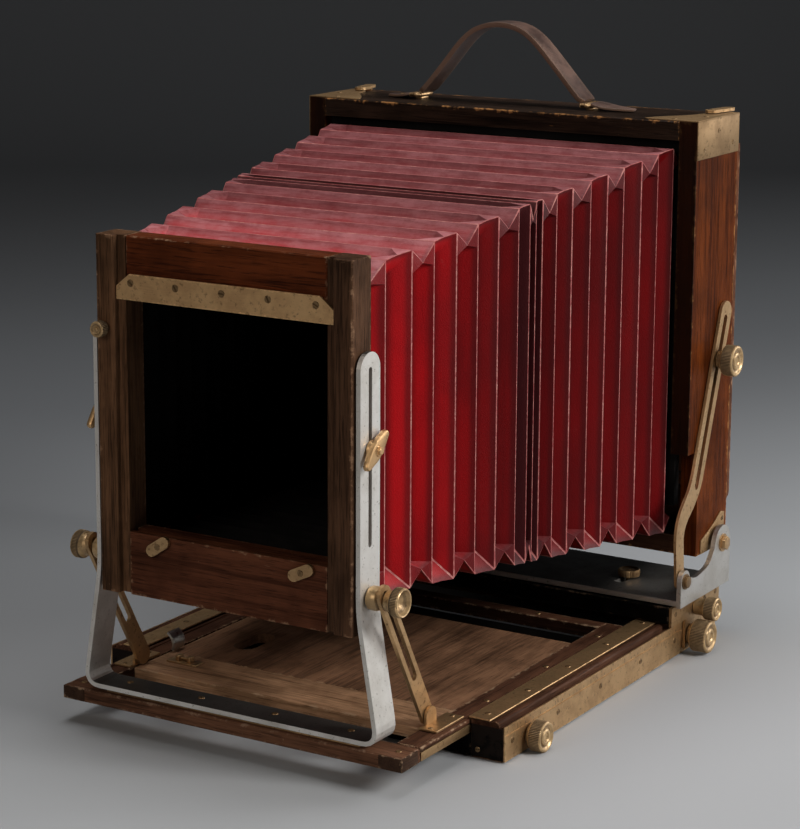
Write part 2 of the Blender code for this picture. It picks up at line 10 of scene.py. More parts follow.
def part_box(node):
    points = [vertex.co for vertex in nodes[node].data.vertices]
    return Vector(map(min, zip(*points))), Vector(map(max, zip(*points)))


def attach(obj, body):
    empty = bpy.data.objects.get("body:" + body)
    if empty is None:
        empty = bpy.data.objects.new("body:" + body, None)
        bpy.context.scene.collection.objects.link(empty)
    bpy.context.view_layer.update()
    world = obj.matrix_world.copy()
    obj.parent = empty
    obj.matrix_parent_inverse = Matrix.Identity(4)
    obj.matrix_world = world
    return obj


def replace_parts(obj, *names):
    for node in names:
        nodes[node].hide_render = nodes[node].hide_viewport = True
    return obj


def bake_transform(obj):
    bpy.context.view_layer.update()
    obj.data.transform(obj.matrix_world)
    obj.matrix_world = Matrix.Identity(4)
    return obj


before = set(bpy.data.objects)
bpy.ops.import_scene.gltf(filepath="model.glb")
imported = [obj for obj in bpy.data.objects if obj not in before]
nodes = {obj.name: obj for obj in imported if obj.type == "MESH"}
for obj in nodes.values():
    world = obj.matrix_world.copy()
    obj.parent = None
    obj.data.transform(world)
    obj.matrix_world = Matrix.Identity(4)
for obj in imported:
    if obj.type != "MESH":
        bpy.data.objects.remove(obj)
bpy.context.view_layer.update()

MM = 0.001


# ---------- the bed ----------
# Two long rails of dark stained mahogany, grooved along their tops, tied by cross bars and by the
# block that takes the tripod screw. The varnish is rubbed through along the arrises.

def blank(name):
    """Begins a material, to which the shader nodes after it belong; gives its shader and point too."""
    global tree
    material = bpy.data.materials.new(name)
    material.use_nodes = True
    tree = material.node_tree
    return material, tree.nodes["Principled BSDF"], tree.nodes.new("ShaderNodeTexCoord").outputs["Object"]


def plug_in(made, key, value):
    """Links a socket to an input, or sets the input to a plain value."""
    if isinstance(value, bpy.types.NodeSocket):
        tree.links.new(value, made.inputs[key])
    else:
        made.inputs[key].default_value = value


def wire(kind, inputs=None, **settings):
    """Adds a shader node, sets it up, and gives its first output."""
    made = tree.nodes.new(kind)
    for key, value in settings.items():
        setattr(made, key, value)
    for key, value in (inputs or {}).items():
        plug_in(made, key, value)
    return made.outputs[0]


def maths(operation, a, b=0.0):
    return wire("ShaderNodeMath", {0: a, 1: b}, operation=operation)


def plus(a, b):
    return maths('ADD', a, b)


def minus(a, b):
    return maths('SUBTRACT', a, b)


def times(a, b):
    return maths('MULTIPLY', a, b)


def larger(a, b):
    return maths('MAXIMUM', a, b)


def unsigned(a):
    return maths('ABSOLUTE', a)


def axes(vector):
    """The x, y and z of a vector."""
    return wire("ShaderNodeSeparateXYZ", {0: vector}).node.outputs


def between(value, start, end, low=0.0, high=1.0):
    """Eases from low to high while the value goes from start to end."""
    limits = {0: value, 1: start, 2: end, 3: low, 4: high}
    return wire("ShaderNodeMapRange", limits, interpolation_type='SMOOTHSTEP')


def tint(share, a, b, how='MIX'):
    """Mixes two colours."""
    made = tree.nodes.new("ShaderNodeMix")
    made.data_type, made.blend_type = 'RGBA', how
    plug_in(made, 0, share)
    for key, shade in ((6, a), (7, b)):
        plug_in(made, key, shade if isinstance(shade, bpy.types.NodeSocket) else (*shade, 1.0))
    return made.outputs[2]


def noise(point, scale, detail=4.0, roughness=0.55, distortion=0.0):
    return wire("ShaderNodeTexNoise", {"Vector": point, "Scale": scale, "Detail": detail,
                                       "Roughness": roughness, "Distortion": distortion})


def stretched(point, scale, shift=(0, 0, 0), turn=(0, 0, 0)):
    return wire("ShaderNodeMapping", {"Vector": point, "Location": shift, "Scale": scale,
                                      "Rotation": turn})


def edge_distance(point, low, high):
    """How far a point on a board is from the nearest arris of its box."""
    centre, half = (low + high) / 2, (high - low) / 2
    offset = wire("ShaderNodeVectorMath", {0: point, 1: centre}, operation='SUBTRACT')
    offset = wire("ShaderNodeVectorMath", {0: offset}, operation='ABSOLUTE')
    x, y, z = axes(wire("ShaderNodeVectorMath", {0: half, 1: offset}, operation='SUBTRACT'))
    least = maths('MINIMUM', maths('MINIMUM', x, y), z)
    return minus(minus(plus(plus(x, y), z), least), larger(larger(x, y), z))


def dress(shader, colour, roughness, height, depth, metallic=0.0, specular=0.5):
    """Links a finish's colour, roughness and surface relief to its shader."""
    shader.inputs["Metallic"].default_value = metallic
    shader.inputs["Specular IOR Level"].default_value = specular
    tree.links.new(colour, shader.inputs["Base Color"])
    tree.links.new(roughness, shader.inputs["Roughness"])
    bump = wire("ShaderNodeBump", {"Height": height, "Distance": depth, "Strength": 1.0})
    tree.links.new(bump, shader.inputs["Normal"])


def wood(name, node, along, dark, light, wear=1.0, rubbed=(0.27, 0.15, 0.085), shine=0.4, brow=None):
    """Stained wood, grained along one axis, rubbed along its arrises, with painted shade on any face ahead of
    brow.
    """
    material, shader, point = blank(name)
    axis = "XYZ".index(along)
    low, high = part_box(node)
    shift = [random.uniform(-5, 5) for _ in range(3)]

    def grain(share):
        return stretched(point, [share if i == axis else 1.0 for i in range(3)], shift)

    figure = noise(grain(0.09), 52, 6, 0.62, 0.9)
    fibre = noise(grain(0.03), 640, 4, 0.65)
    pores = noise(grain(0.04), 1500, 2, 0.5)
    blotch = noise(stretched(point, (1, 1, 1), shift), 17, 4, 0.6)
    chips = noise(stretched(point, (1, 1, 1), shift), 150, 5, 0.7)
    scuffs = noise(grain(0.16), 240, 3, 0.7)

    colour = tint(between(figure, 0.34, 0.64), dark, light)
    colour = tint(between(fibre, 0.36, 0.66, 0.0, 0.6), colour, [c * 1.25 for c in light])
    open_pore = between(pores, 0.56, 0.68)
    colour = tint(times(open_pore, 0.55), colour, [c * 0.3 for c in dark])
    colour = tint(between(blotch, 0.42, 0.66, 0.0, 0.5), colour, [c * 0.55 for c in dark])

    edge = edge_distance(point, low, high)
    ragged = plus(edge, times(minus(chips, 0.5), 0.013))
    rub = between(ragged, 0.0009 * wear, -0.0012)
    specks = between(chips, 0.705, 0.74, 0.0, 0.55 * min(1.0, wear))
    scratch = between(scuffs, 0.7, 0.76, 0.0, 0.4 * min(1.0, wear))
    bare = larger(larger(rub, specks), scratch)
    colour = tint(times(bare, 0.8), colour, rubbed)
    if brow is not None:
        # Painted shade: the faces ahead of brow are darkened almost to black.
        front_shade = between(axes(point)[1], brow + 0.0014, brow + 0.0004, 0.0, 0.88)
        colour = tint(front_shade, colour, (0.006, 0.0035, 0.0025))

    gloss = plus(between(blotch, 0.3, 0.7, shine - 0.07, shine + 0.12), times(bare, 0.25))
    height = minus(minus(times(fibre, 0.35), open_pore), times(bare, 0.8))
    dress(shader, colour, gloss, height, 0.00012, specular=0.03)
    return material


def finish_node(node, material):
    """Gives a CAD node its finish."""
    for socket in nodes[node].material_slots:
        socket.material = material


random.seed(4)
umber, chestnut = (0.030, 0.013, 0.008), (0.095, 0.042, 0.024)
for node, along, dark, light, wear in (
        ("bed_rail_left", "Y", umber, chestnut, 1.1), ("bed_rail_right", "Y", umber, chestnut, 1.1),
        ("bed_rear_bar", "X", umber, chestnut, 0.8)):
    finish_node(node, wood(node + "_wood", node, along, dark, light, wear))


def black_paint(name, node, scuffed=(0.10, 0.066, 0.042)):
    """Ebonised wood: satin black, scuffed brown at the arrises."""
    material, shader, point = blank(name)
    low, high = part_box(node)
    cloud = noise(point, 60, 5, 0.6)
    chips = noise(point, 210, 4, 0.7)
    edge = plus(edge_distance(point, low, high), times(minus(chips, 0.5), 0.012))
    rub = between(edge, 0.0006, -0.001)
    colour = tint(between(cloud, 0.4, 0.7), (0.002, 0.0018, 0.0016), (0.006, 0.005, 0.0045))
    colour = tint(times(rub, 0.7), colour, scuffed)
    gloss = between(cloud, 0.3, 0.7, 0.42, 0.6)
    dress(shader, colour, gloss, chips, 0.00008, specular=0.03)
    return material


for node in ("bed_front_bar", "tripod_block"):
    finish_node(node, black_paint(node + "_paint", node))


# ---------- brass on the bed ----------
# Strips of drawn brass screwed to the tops and outer sides of the rails; the outer ones carry a
# ruled scale. The lacquer has gone and the metal has dulled to a warm brown, brighter on edges.

def brass(name, node=None, along="Y", tone=1.0, shine=0.36):
    """Old brass: dulled and spotted, with fine rubbing marks along one axis."""
    material, shader, point = blank(name)
    axis = "XYZ".index(along)
    cloud = noise(point, 46, 6, 0.62)
    spots = noise(point, 330, 3, 0.6)
    rubbing = noise(stretched(point, [0.03 if i == axis else 1.0 for i in range(3)]), 1500, 2, 0.5)
    shades = (0.62, 0.40, 0.20), (0.44, 0.275, 0.135), (0.15, 0.09, 0.045)
    clean, dull, brown = ([c * tone for c in shade] for shade in shades)
    colour = tint(between(cloud, 0.36, 0.62), clean, dull)
    colour = tint(between(spots, 0.56, 0.74, 0.0, 0.75), colour, brown)
    colour = tint(between(rubbing, 0.45, 0.75, 0.0, 0.3), colour, clean)
    if node:
        low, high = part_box(node)
        ragged = plus(edge_distance(point, low, high), times(minus(spots, 0.5), 0.004))
        colour = tint(between(ragged, 0.0008, -0.0004, 0.0, 0.7), colour,
                      [min(1.0, c * 1.45) for c in clean])
    gloss = plus(between(cloud, 0.3, 0.7, shine, shine + 0.14), times(between(spots, 0.56, 0.74), 0.16))
    dress(shader, colour, gloss, plus(rubbing, times(spots, 0.6)), 0.00005, metallic=0.9)
    return material


def brass_finish(node, edged=False, **looks):
    """Old brass on a CAD node, brighter along its arrises where it is edged."""
    finish_node(node, brass(node + "_brass", node if edged else None, **looks))


for node in ("rail_top_plate_left", "rail_top_plate_right", "rail_side_plate_left", "rail_side_plate_right"):
    brass_finish(node, True)


def piece(name, mesh, materials, body, smooth=35):
    """Makes a finished object from a mesh in millimetres, riding on a CAD body if one is named."""
    bmesh.ops.scale(mesh, vec=(MM, MM, MM), verts=mesh.verts)
    data = bpy.data.meshes.new(name)
    mesh.to_mesh(data)
    mesh.free()
    if smooth:
        data.shade_smooth()
        data.set_sharp_from_angle(angle=math.radians(smooth))
    for material in materials:
        data.materials.append(material)
    item = bpy.data.objects.new(name, data)
    bpy.context.scene.collection.objects.link(item)
    if body:
        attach(item, body)
    return item


def facing(direction, centre, turn=0.0):
    """Stands a shape made along +Z on a point, looking in a direction."""
    stand = Vector(direction).to_track_quat('Z', 'Y').to_matrix().to_4x4()
    return Matrix.Translation(Vector(centre)) @ stand @ Matrix.Rotation(turn, 4, 'Z')


def join(mesh, one):
    """Adds a finished part to a mesh of several."""
    scratch = bpy.data.meshes.new("joined")
    one.to_mesh(scratch)
    one.free()
    mesh.from_mesh(scratch)
    bpy.data.meshes.remove(scratch)


def screw_head(mesh, place, radius):
    """One slotted screw head, domed a little, standing 0.4 mm proud of its seat."""
    made = bmesh.ops.create_cone(mesh, cap_ends=True, segments=18, radius1=radius, radius2=radius * 0.8,
                                 depth=0.7)["verts"]
    faces = set(face for vert in made for face in vert.link_faces)
    for side in (-1, 1):
        geom = list(set(v for f in faces for v in f.verts)) + list(set(e for f in faces for e in f.edges))
        bmesh.ops.bisect_plane(mesh, geom=geom + list(faces), dist=0.0001,
                               plane_co=(side * radius * 0.15, 0, 0), plane_no=(1, 0, 0))
        faces = set(face for vert in made if vert.is_valid for face in vert.link_faces)
        faces |= set(other for face in faces for edge in face.edges for other in edge.link_faces)
    top = [f for f in faces if f.normal.z > 0.9 and abs(f.calc_center_median().x) < radius * 0.1]
    grown = bmesh.ops.extrude_face_region(mesh, geom=top)["geom"]
    sunk = [v for v in grown if isinstance(v, bmesh.types.BMVert)]
    bmesh.ops.translate(mesh, verts=sunk, vec=(0, 0, -0.35))
    bmesh.ops.delete(mesh, geom=[f for f in top if f.is_valid], context='FACES_ONLY')
    head = set(v for f in faces if f.is_valid for v in f.verts) | set(sunk)
    bmesh.ops.transform(mesh, matrix=place, verts=list(head))


def screws(name, body, places, material, radius=2.3):
    """A group of screw heads that hold one fitting; each place is a point and a direction."""
    mesh = bmesh.new()
    for centre, direction in places:
        one = bmesh.new()
        screw_head(one, facing(direction, centre, random.uniform(0, math.pi)), radius)
        bmesh.ops.recalc_face_normals(one, faces=one.faces)
        join(mesh, one)
    return piece(name, mesh, [material], body)


both_sides = ((-1, "left"), (1, "right"))
screw_brass = brass("screw_brass", along="X", tone=0.5, shine=0.4)
top_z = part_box("rail_top_plate_right")[1].z / MM
side_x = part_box("rail_side_plate_right")[1].x / MM
strip_middle, scale_row = 135, 12.5
places = []
for side in (-1, 1):
    places += [((side * strip_middle, y, top_z), (0, 0, 1)) for y in (-146, -94, -38, 18, 74, 130)]
    places += [((side * side_x, y, scale_row), (side, 0, 0)) for y in (-147, -86, -26, 34, 88, 146)]
screws("rail_screws", "bed", places, screw_brass)

# A ruled scale in ten-millimetre steps, and the black end of each rail.
ink, shader, point = blank("scale_ink")
dress(shader, tint(noise(point, 300), (0.012, 0.010, 0.008), (0.05, 0.035, 0.02)),
      between(noise(point, 90), 0.3, 0.7, 0.45, 0.65), noise(point, 900), 0.00003)
mesh = bmesh.new()
scale_start, scale_foot, marks, every = -140, 18.4, 29, 10
for i in range(marks):
    tall = 2.6 if i % 5 == 0 else 1.5
    place = Matrix.Translation((side_x - 0.2, scale_start + i * every, scale_foot + tall / 2))
    bmesh.ops.create_cube(mesh, size=1.0, matrix=place @ Matrix.Diagonal((0.1, 0.4, tall, 1)))
piece("rail_scale", mesh, [ink], "bed", smooth=0)

end_black = black_paint("rail_end_paint", "bed_front_bar", (0.014, 0.010, 0.008))
mesh = bmesh.new()
low_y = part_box("bed_rail_right")[0].y / MM
cap = Matrix.Diagonal((22.4, 0.8, 21.0, 1))
for side in (-1, 1):
    place = Matrix.Translation((side * 140.5, low_y - 0.3, 11.2)) @ cap
    made = bmesh.ops.create_cube(mesh, size=1.0, matrix=place)["verts"]
    edges = list(set(edge for vert in made for edge in vert.link_edges))
    bmesh.ops.bevel(mesh, geom=edges, offset=0.25, segments=1, profile=0.5, affect='EDGES', material=-1)
piece("rail_ends", mesh, [end_black], "bed", smooth=0)
screws("rail_end_screws", "bed", [((side * 134, low_y - 0.7, 5.5), (0, -1, 0)) for side in (-1, 1)],
       screw_brass, 2.0)


# ---------- the sliding front bed ----------
# A second, narrower bed of mahogany that runs out between the rails. Its panel is scraped and
# sun-bleached, its front rail ends in black blocks, and a brass strip edges each side.

scraped = (0.36, 0.24, 0.15)
for node, along, dark, light, wear, rubbed in (
        ("sled_front_rail", "X", (0.036, 0.017, 0.010), (0.15, 0.070, 0.040), 1.1, (0.30, 0.19, 0.13)),
        ("sled_rail_left", "Y", umber, chestnut, 1.2, scraped),
        ("sled_rail_right", "Y", umber, chestnut, 1.2, scraped),
        ("sled_cross_board", "X", (0.12, 0.06, 0.03), (0.40, 0.23, 0.13), 1.3, scraped),
        ("sled_panel", "Y", (0.07, 0.035, 0.02), (0.24, 0.125, 0.07), 1.2, scraped),
        ("sled_rear_bar", "X", umber, chestnut, 1.1, scraped)):
    finish_node(node, wood(node + "_wood", node, along, dark, light, wear, rubbed, 0.46))


def block(mesh, low, high, edge=0.3):
    """A small box between two corners with its arrises eased."""
    low, high = Vector(low), Vector(high)
    place = Matrix.Translation((low + high) / 2) @ Matrix.Diagonal((*(high - low), 1))
    made = bmesh.ops.create_cube(mesh, size=1.0, matrix=place)["verts"]
    edges = list(set(found for vert in made for found in vert.link_edges))
    bmesh.ops.bevel(mesh, geom=edges, offset=edge, segments=2, profile=0.5, affect='EDGES', material=-1)


def rod(mesh, radius, length, direction, centre, sides):
    """A short length of round bar."""
    bmesh.ops.create_cone(mesh, cap_ends=True, segments=sides, radius1=radius, radius2=radius, depth=length,
                          matrix=facing(direction, centre))


strip_brass = brass("sled_strip_brass", along="Y", tone=0.75)
sled_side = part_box("sled_front_rail")[1].x / MM
sled_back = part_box("sled_rear_bar")[1].y / MM
mesh = bmesh.new()
for side in (-1, 1):
    x = sorted((side * (sled_side - 1.1), side * (sled_side - 0.1)))
    block(mesh, (x[0], -215.5, 15), (x[1], sled_back - 0.5, 20.6), 0.2)
piece("sled_side_strips", mesh, [strip_brass], "sled")

mesh = bmesh.new()
sled_low, sled_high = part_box("sled_front_rail")
for side in (-1, 1):
    x = sorted((side * 111.5, side * (sled_side + 0.35)))
    block(mesh, (x[0], sled_low.y / MM - 0.4, 14.9), (x[1], sled_high.y / MM - 3.5, 23.5), 0.4)
end_grain = wood("sled_block_wood", "sled_front_rail", "Y", (0.018, 0.011, 0.008), (0.06, 0.032, 0.02),
                 1.2, scraped)
piece("sled_end_blocks", mesh, [end_grain], "sled")
board_top = sled_high.z / MM
places = [((side * x, y, board_top), (0, 0, 1)) for side in (-1, 1)
          for x, y in ((119.5, -228), (119.5, -120), (119.5, -40), (119.5, 36), (60, 60.5))]
screws("sled_screws", "sled", places, screw_brass, 2.2)

# The spring clip that holds the sliding bed shut: a bright steel leaf with its brass seat.
steel, shader, point = blank("spring_steel")
cloud = noise(point, 90, 5, 0.6)
lines = noise(stretched(point, (1, 0.04, 1)), 1600, 2)
dress(shader, tint(between(cloud, 0.4, 0.7), (0.62, 0.61, 0.58), (0.33, 0.31, 0.28)),
      between(cloud, 0.3, 0.7, 0.26, 0.44), lines, 0.00004, metallic=1.0)
finish_node("catch_lever", steel)
mesh = bmesh.new()
block(mesh, (-100, -165, 23.5), (-76, -155.5, 24.6))
for left, right in ((-94, -91), (-85, -82)):
    block(mesh, (left, -163, 24.5), (right, -157.5, 28.4), 0.5)
rod(mesh, 1.1, 13, (1, 0, 0), (-88, -160.2, 26.2), 16)
piece("catch_clip", mesh, [brass("catch_brass", along="X", tone=0.85)], "sled")


# ---------- the front yoke ----------
# One strip of half-hard aluminium bent into a U, slotted in both uprights and hinged along a
# brass leaf that lies across the sliding bed. It is matt and finely scratched along its length.

def upward():
    """How far a face looks up."""
    return axes(wire("ShaderNodeNewGeometry").node.outputs["Normal"])[2]


def aluminium(name, shade_colour, reach, tone, shine):
    """Matt aluminium; upward faces are darkened with painted shade, fully so within a distance of the centre
    line.
    """
    material, shader, point = blank(name)
    cloud = noise(point, 32, 5, 0.6)
    pits = noise(point, 420, 3, 0.65)
    along_x = noise(stretched(point, (0.025, 1, 1)), 1300, 2, 0.5)
    along_z = noise(stretched(point, (1, 1, 0.025)), 1300, 2, 0.5)
    lines = times(along_x, along_z)
    shades = (0.84, 0.815, 0.775), (0.66, 0.63, 0.585)
    clean, dull = ([c * tone for c in shade] for shade in shades)
    colour = tint(between(cloud, 0.38, 0.66), clean, dull)
    colour = tint(between(pits, 0.6, 0.74, 0.0, 0.7), colour, (0.18, 0.16, 0.13))
    # Painted shade on the upward faces, strongest near the centre line.
    inner = between(unsigned(axes(point)[0]), reach + 0.03, reach, 0.35, 0.93)
    darkening = times(between(upward(), 0.8, 0.97), inner)
    colour = tint(darkening, colour, shade_colour)
    gloss = plus(between(cloud, 0.3, 0.7, 0.36, 0.5), times(between(pits, 0.6, 0.74), 0.2))
    dress(shader, colour, gloss, plus(lines, times(pits, 0.4)), 0.00006, metallic=shine)
    return material


# The yoke's upward faces carry painted shade.
finish_node("front_yoke", aluminium("front_yoke_aluminium", (0.036, 0.031, 0.027), 0.2, 0.82, 0.6))
yoke_low, yoke_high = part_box("front_yoke")
hinge_y = (yoke_low.y + yoke_high.y) / 2 / MM
floor_z = yoke_low.z / MM
mesh = bmesh.new()
leaf_end, knuckle, gap = 96, 7.6, 0.4
block(mesh, (-leaf_end, hinge_y - 7.5, board_top - 0.2), (leaf_end, hinge_y + 9.5, board_top + 0.9))
for i in range(24):
    x = 4 - leaf_end + i * (knuckle + gap)
    rod(mesh, 1.1, knuckle, (1, 0, 0), (x, hinge_y + 9.2, board_top + 0.3), 12)
piece("yoke_hinge", mesh, [brass("hinge_brass", along="X", tone=0.8)], "sled")
places = [((x, hinge_y + 2, floor_z + 3.0), (0, 0, 1)) for x in (-84, -28, 28, 84)]
screws("yoke_screws", "front_yoke", places, brass("yoke_screw_brass", along="X", tone=0.6), 2.5)


# ---------- the braces and turned knobs ----------
# Slotted brass braces steady the yoke. Each clamp knob is turned from brass bar, with a plain
# neck, a knurled rim filled with old black dirt and a dished face; the wing nuts are cast.

for node in ("brace_left", "brace_right", "brace_foot_left", "brace_foot_right"):
    brass_finish(node, along="Z", tone=0.95)


def lathe(mesh, profile, axis, centre, steps=64, teeth=0, rim=0.0):
    """Turns a profile of (distance, radius) round an axis; rim is the least radius that is knurled."""
    knurl = 0.3
    turn = {"X": Vector((1, 0, 0)), "Y": Vector((0, 1, 0)), "Z": Vector((0, 0, 1))}[axis]
    out = {"X": Vector((0, 1, 0)), "Y": Vector((1, 0, 0)), "Z": Vector((1, 0, 0))}[axis]
    middle = Vector(centre)
    side = turn.cross(out)
    steps = 2 * teeth if teeth else steps
    one = bmesh.new()
    verts = [one.verts.new(middle + turn * along + out * radius) for along, radius in profile]
    edges = [one.edges.new(pair) for pair in zip(verts, verts[1:])]
    bmesh.ops.spin(one, geom=verts + edges, cent=middle, axis=turn, angle=2 * math.pi, steps=steps,
                   use_merge=True)
    bmesh.ops.remove_doubles(one, verts=one.verts, dist=0.001)
    bmesh.ops.recalc_face_normals(one, faces=one.faces)
    for vert in one.verts if teeth else ():
        arm = vert.co - middle
        radial = arm - turn * arm.dot(turn)
        if radial.length > rim and round(math.atan2(arm.dot(side), arm.dot(out)) / math.tau * steps) % 2:
            vert.co -= radial.normalized() * knurl
    join(mesh, one)


def knob_metal(name, axis, centre, grip, radius):
    """Turned brass whose knurled rim, between two distances along the axis, is dark with dirt."""
    material, shader, point = blank(name)
    cloud = noise(point, 120, 5, 0.6)
    spots = noise(point, 520, 3, 0.6)
    places, index = axes(point), "XYZ".index(axis)
    along = unsigned(places[index]) if axis == "X" else places[index]
    one, other = (minus(places[i], centre[i] * MM) for i in range(3) if i != index)
    reach = maths('SQRT', plus(times(one, one), times(other, other)))
    inside = times(between(along, (grip[0] - 0.3) * MM, (grip[0] + 0.3) * MM),
                   between(along, (grip[1] + 0.3) * MM, (grip[1] - 0.3) * MM))
    rim = times(inside, between(reach, (radius - 1.2) * MM, (radius - 0.8) * MM))
    crest = between(reach, (radius - 0.22) * MM, (radius + 0.02) * MM, 0.9, 0.25)
    darkening = times(rim, crest)
    colour = tint(between(cloud, 0.36, 0.62), (0.58, 0.395, 0.20), (0.37, 0.245, 0.12))
    colour = tint(between(spots, 0.56, 0.72, 0.0, 0.7), colour, (0.13, 0.08, 0.04))
    colour = tint(darkening, colour, (0.05, 0.032, 0.018))
    ring = unsigned(minus(reach, radius * 0.62 * MM))
    groove = between(ring, radius * 0.12 * MM, radius * 0.03 * MM, 0.0, 0.6)
    colour = tint(groove, colour, (0.09, 0.055, 0.028))
    tool_marks = times(maths('SINE', times(reach, 9000)), 0.3)
    gloss = plus(between(cloud, 0.3, 0.7, 0.3, 0.44), times(darkening, 0.3))
    dress(shader, colour, gloss, plus(tool_marks, spots), 0.00004, metallic=0.5)
    return material


def knob(name, node, body, profile, axis, centre, grip, radius, teeth):
    """A turned knob that takes the place of its CAD node."""
    mesh = bmesh.new()
    lathe(mesh, profile, axis, centre, teeth=teeth, rim=radius - 0.7)
    metal = knob_metal(name + "_brass", axis, centre, grip, radius)
    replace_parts(piece(name, mesh, [metal], body, smooth=28), node)


def across(side, profile):
    """An outline turned about X, on the left or the right of the camera."""
    return [(side * along, radius) for along, radius in profile]


clamp = [(94.6, 0), (94.6, 2), (98.8, 2), (98.8, 6.2), (99.5, 7.1), (100.6, 7.5), (104.4, 7.5), (105.8, 7.0),
         (106.4, 6.0), (106.8, 5.4), (107.6, 5.3), (107.6, 2), (111, 2), (111, 6.2), (111.8, 6.6),
         (113.6, 6.6), (115, 7.2), (116, 8.4), (116.8, 9.0), (118, 9.2), (121.2, 9.2), (122.2, 8.9),
         (122.6, 8.3), (122.3, 7.7), (121, 7.0), (118.6, 5.0), (117.2, 2.8), (116.6, 1.0), (116.5, 0)]
clamp_z, clamp_radius, clamp_grip = 117, 9.2, (116.4, 121.4)
for side, word in both_sides:
    knob("clamp_knob_" + word, "brace_knob_" + word, "brace_knob_" + word, across(side, clamp), "X",
         (0, hinge_y, clamp_z), clamp_grip, clamp_radius, 60)


def plate(mesh, outline, start, grow, edge=0.15):
    """A flat outline given thickness along one direction, its arrises eased."""
    one = bmesh.new()
    face = one.faces.new([one.verts.new(Vector(p) + Vector(start)) for p in outline])
    grown = bmesh.ops.extrude_face_region(one, geom=[face])["geom"]
    bmesh.ops.translate(one, verts=[g for g in grown if isinstance(g, bmesh.types.BMVert)], vec=grow)
    bmesh.ops.recalc_face_normals(one, faces=one.faces)
    bmesh.ops.bevel(one, geom=one.edges[:], offset=edge, segments=2, profile=0.5, affect='EDGES', material=-1,
                    clamp_overlap=True)
    join(mesh, one)


stud_z, wing_lean = 208.0, math.radians(40)
leaf = [(15, 1.3), (13.6, 2.4), (8, 4.0), (3, 5.3), (-3, 5.3), (-8, 4.0), (-13.6, 2.4), (-15, 1.3)]
leaf += [(-length, -width) for length, width in leaf]
boss = [(98.9, 0), (98.9, 5.6), (99.3, 5.9), (101.6, 5.4), (104.6, 3.4), (105.2, 3.2), (105.2, 2.4),
        (106.4, 2.3), (106.8, 1.9), (106.8, 0)]
for side, word in both_sides:
    mesh = bmesh.new()
    lathe(mesh, across(side, boss), "X", (0, hinge_y, stud_z), 40)
    lie = Matrix.Rotation(wing_lean, 3, 'X')
    plate(mesh, [lie @ Vector((0, length, width)) for length, width in leaf],
          (side * 100.6, hinge_y, stud_z), (side * 3.8, 0, 0), 1.1)
    metal = brass("wing_brass_" + word, along="Z", tone=1.1)
    node = "wing_nut_" + word
    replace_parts(piece(node, mesh, [metal], node, smooth=40), node)
    brass_finish("slide_stud_" + word, along="X", tone=0.8)
places = [((side * 117.5, y, 25.5), (0, 0, 1)) for side in (-1, 1) for y in (-187.2, -160.2)]
screws("brace_foot_screws", "sled", places, screw_brass, 1.9)


# ---------- the front frame ----------
# Two posts and two rails of French-polished mahogany round the lens-board opening. A brass bar
# overhangs the opening's top and two turn buttons hold the board's lower edge.

for node, along, dark, light, wear in (
        ("front_stile_left", "Z", (0.034, 0.017, 0.009), (0.14, 0.070, 0.036), 1.1),
        ("front_stile_right", "Z", (0.020, 0.010, 0.006), (0.09, 0.045, 0.025), 1.2),
        ("front_top_rail", "X", (0.023, 0.0055, 0.0025), (0.12, 0.029, 0.0095), 0.7),
        ("front_bottom_rail", "X", (0.033, 0.0105, 0.0055), (0.115, 0.040, 0.020), 0.9)):
    finish_node(node, wood(node + "_wood", node, along, dark, light, wear, (0.26, 0.15, 0.09), 0.34))
brass_finish("lens_board_retainer", True, along="X", tone=1.1, shine=0.42)
for word in ("left", "right"):
    node = "turn_button_" + word
    brass_finish(node, True, along="X", tone=0.85)
    low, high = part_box(node)
    centre = ((low.x + high.x) / 2 / MM, low.y / MM, (low.z + high.z) / 2 / MM)
    screws(node + "_screw", node, [(centre, (0, -1, 0))], screw_brass, 2.4)
bar_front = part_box("lens_board_retainer")[0].y / MM
dark_screw = brass("dark_screw_brass", along="X", tone=0.45, shine=0.36)
places = [((x, bar_front, 293.4), (0, -1, 0)) for x in (-69, -35, -0.7, 33, 67)]
screws("retainer_screws", "front_frame", places, dark_screw, 2.7)

lock_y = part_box("front_lock_knob")[1].y / MM
profile = [(0, 0), (0, 3.6), (-1.2, 3.6), (-1.4, 4.6), (-1.9, 5.1), (-7.2, 5.2), (-7.9, 4.9), (-8.2, 4.3),
           (-8.1, 3.5), (-7.6, 2.8), (-7.6, 1.7), (-8.3, 1.3), (-8.6, 0.8), (-8.6, 0)]
knob("front_lock", "front_lock_knob", "front_lock", profile, "Y", (-88, lock_y, 264),
     (lock_y - 7.3, lock_y - 1.8), 5.2, 30)


# ---------- the bellows ----------
# Pleated skiver leather over black cloth, glued to stiffening cards. The leather is oxblood red,
# rubbed pale pink along its folds and dusty on top, with a painted sheen there too; painted shade
# darkens its valleys, its tail half and the squeezed pleats. Seven lengths follow the camera's movements.

def pleat_ring(mesh, y, valley=False, flat=False):
    """One ring of the bellows: three corner points at each corner, on a ridge or in a valley."""
    share = (y - mouth) / (tail - mouth)
    half, middle, rise = (first + gained * share for first, gained in taper)
    if not valley:
        corner = ((half - mitre, rise), (half, rise), (half, rise - mitre))
    else:
        key = (half - 0.12 * fold, rise) if flat else (half, rise - fold)
        corner = ((half - mitre, rise - fold), key, (half - fold, rise - mitre))
    around = [(x, z) for x, z in corner] + [(x, -z) for x, z in corner[::-1]]
    around += [(-x, -z) for x, z in corner] + [(-x, z) for x, z in corner[::-1]]
    return [mesh.verts.new((x, y, middle + z)) for x, z in around]


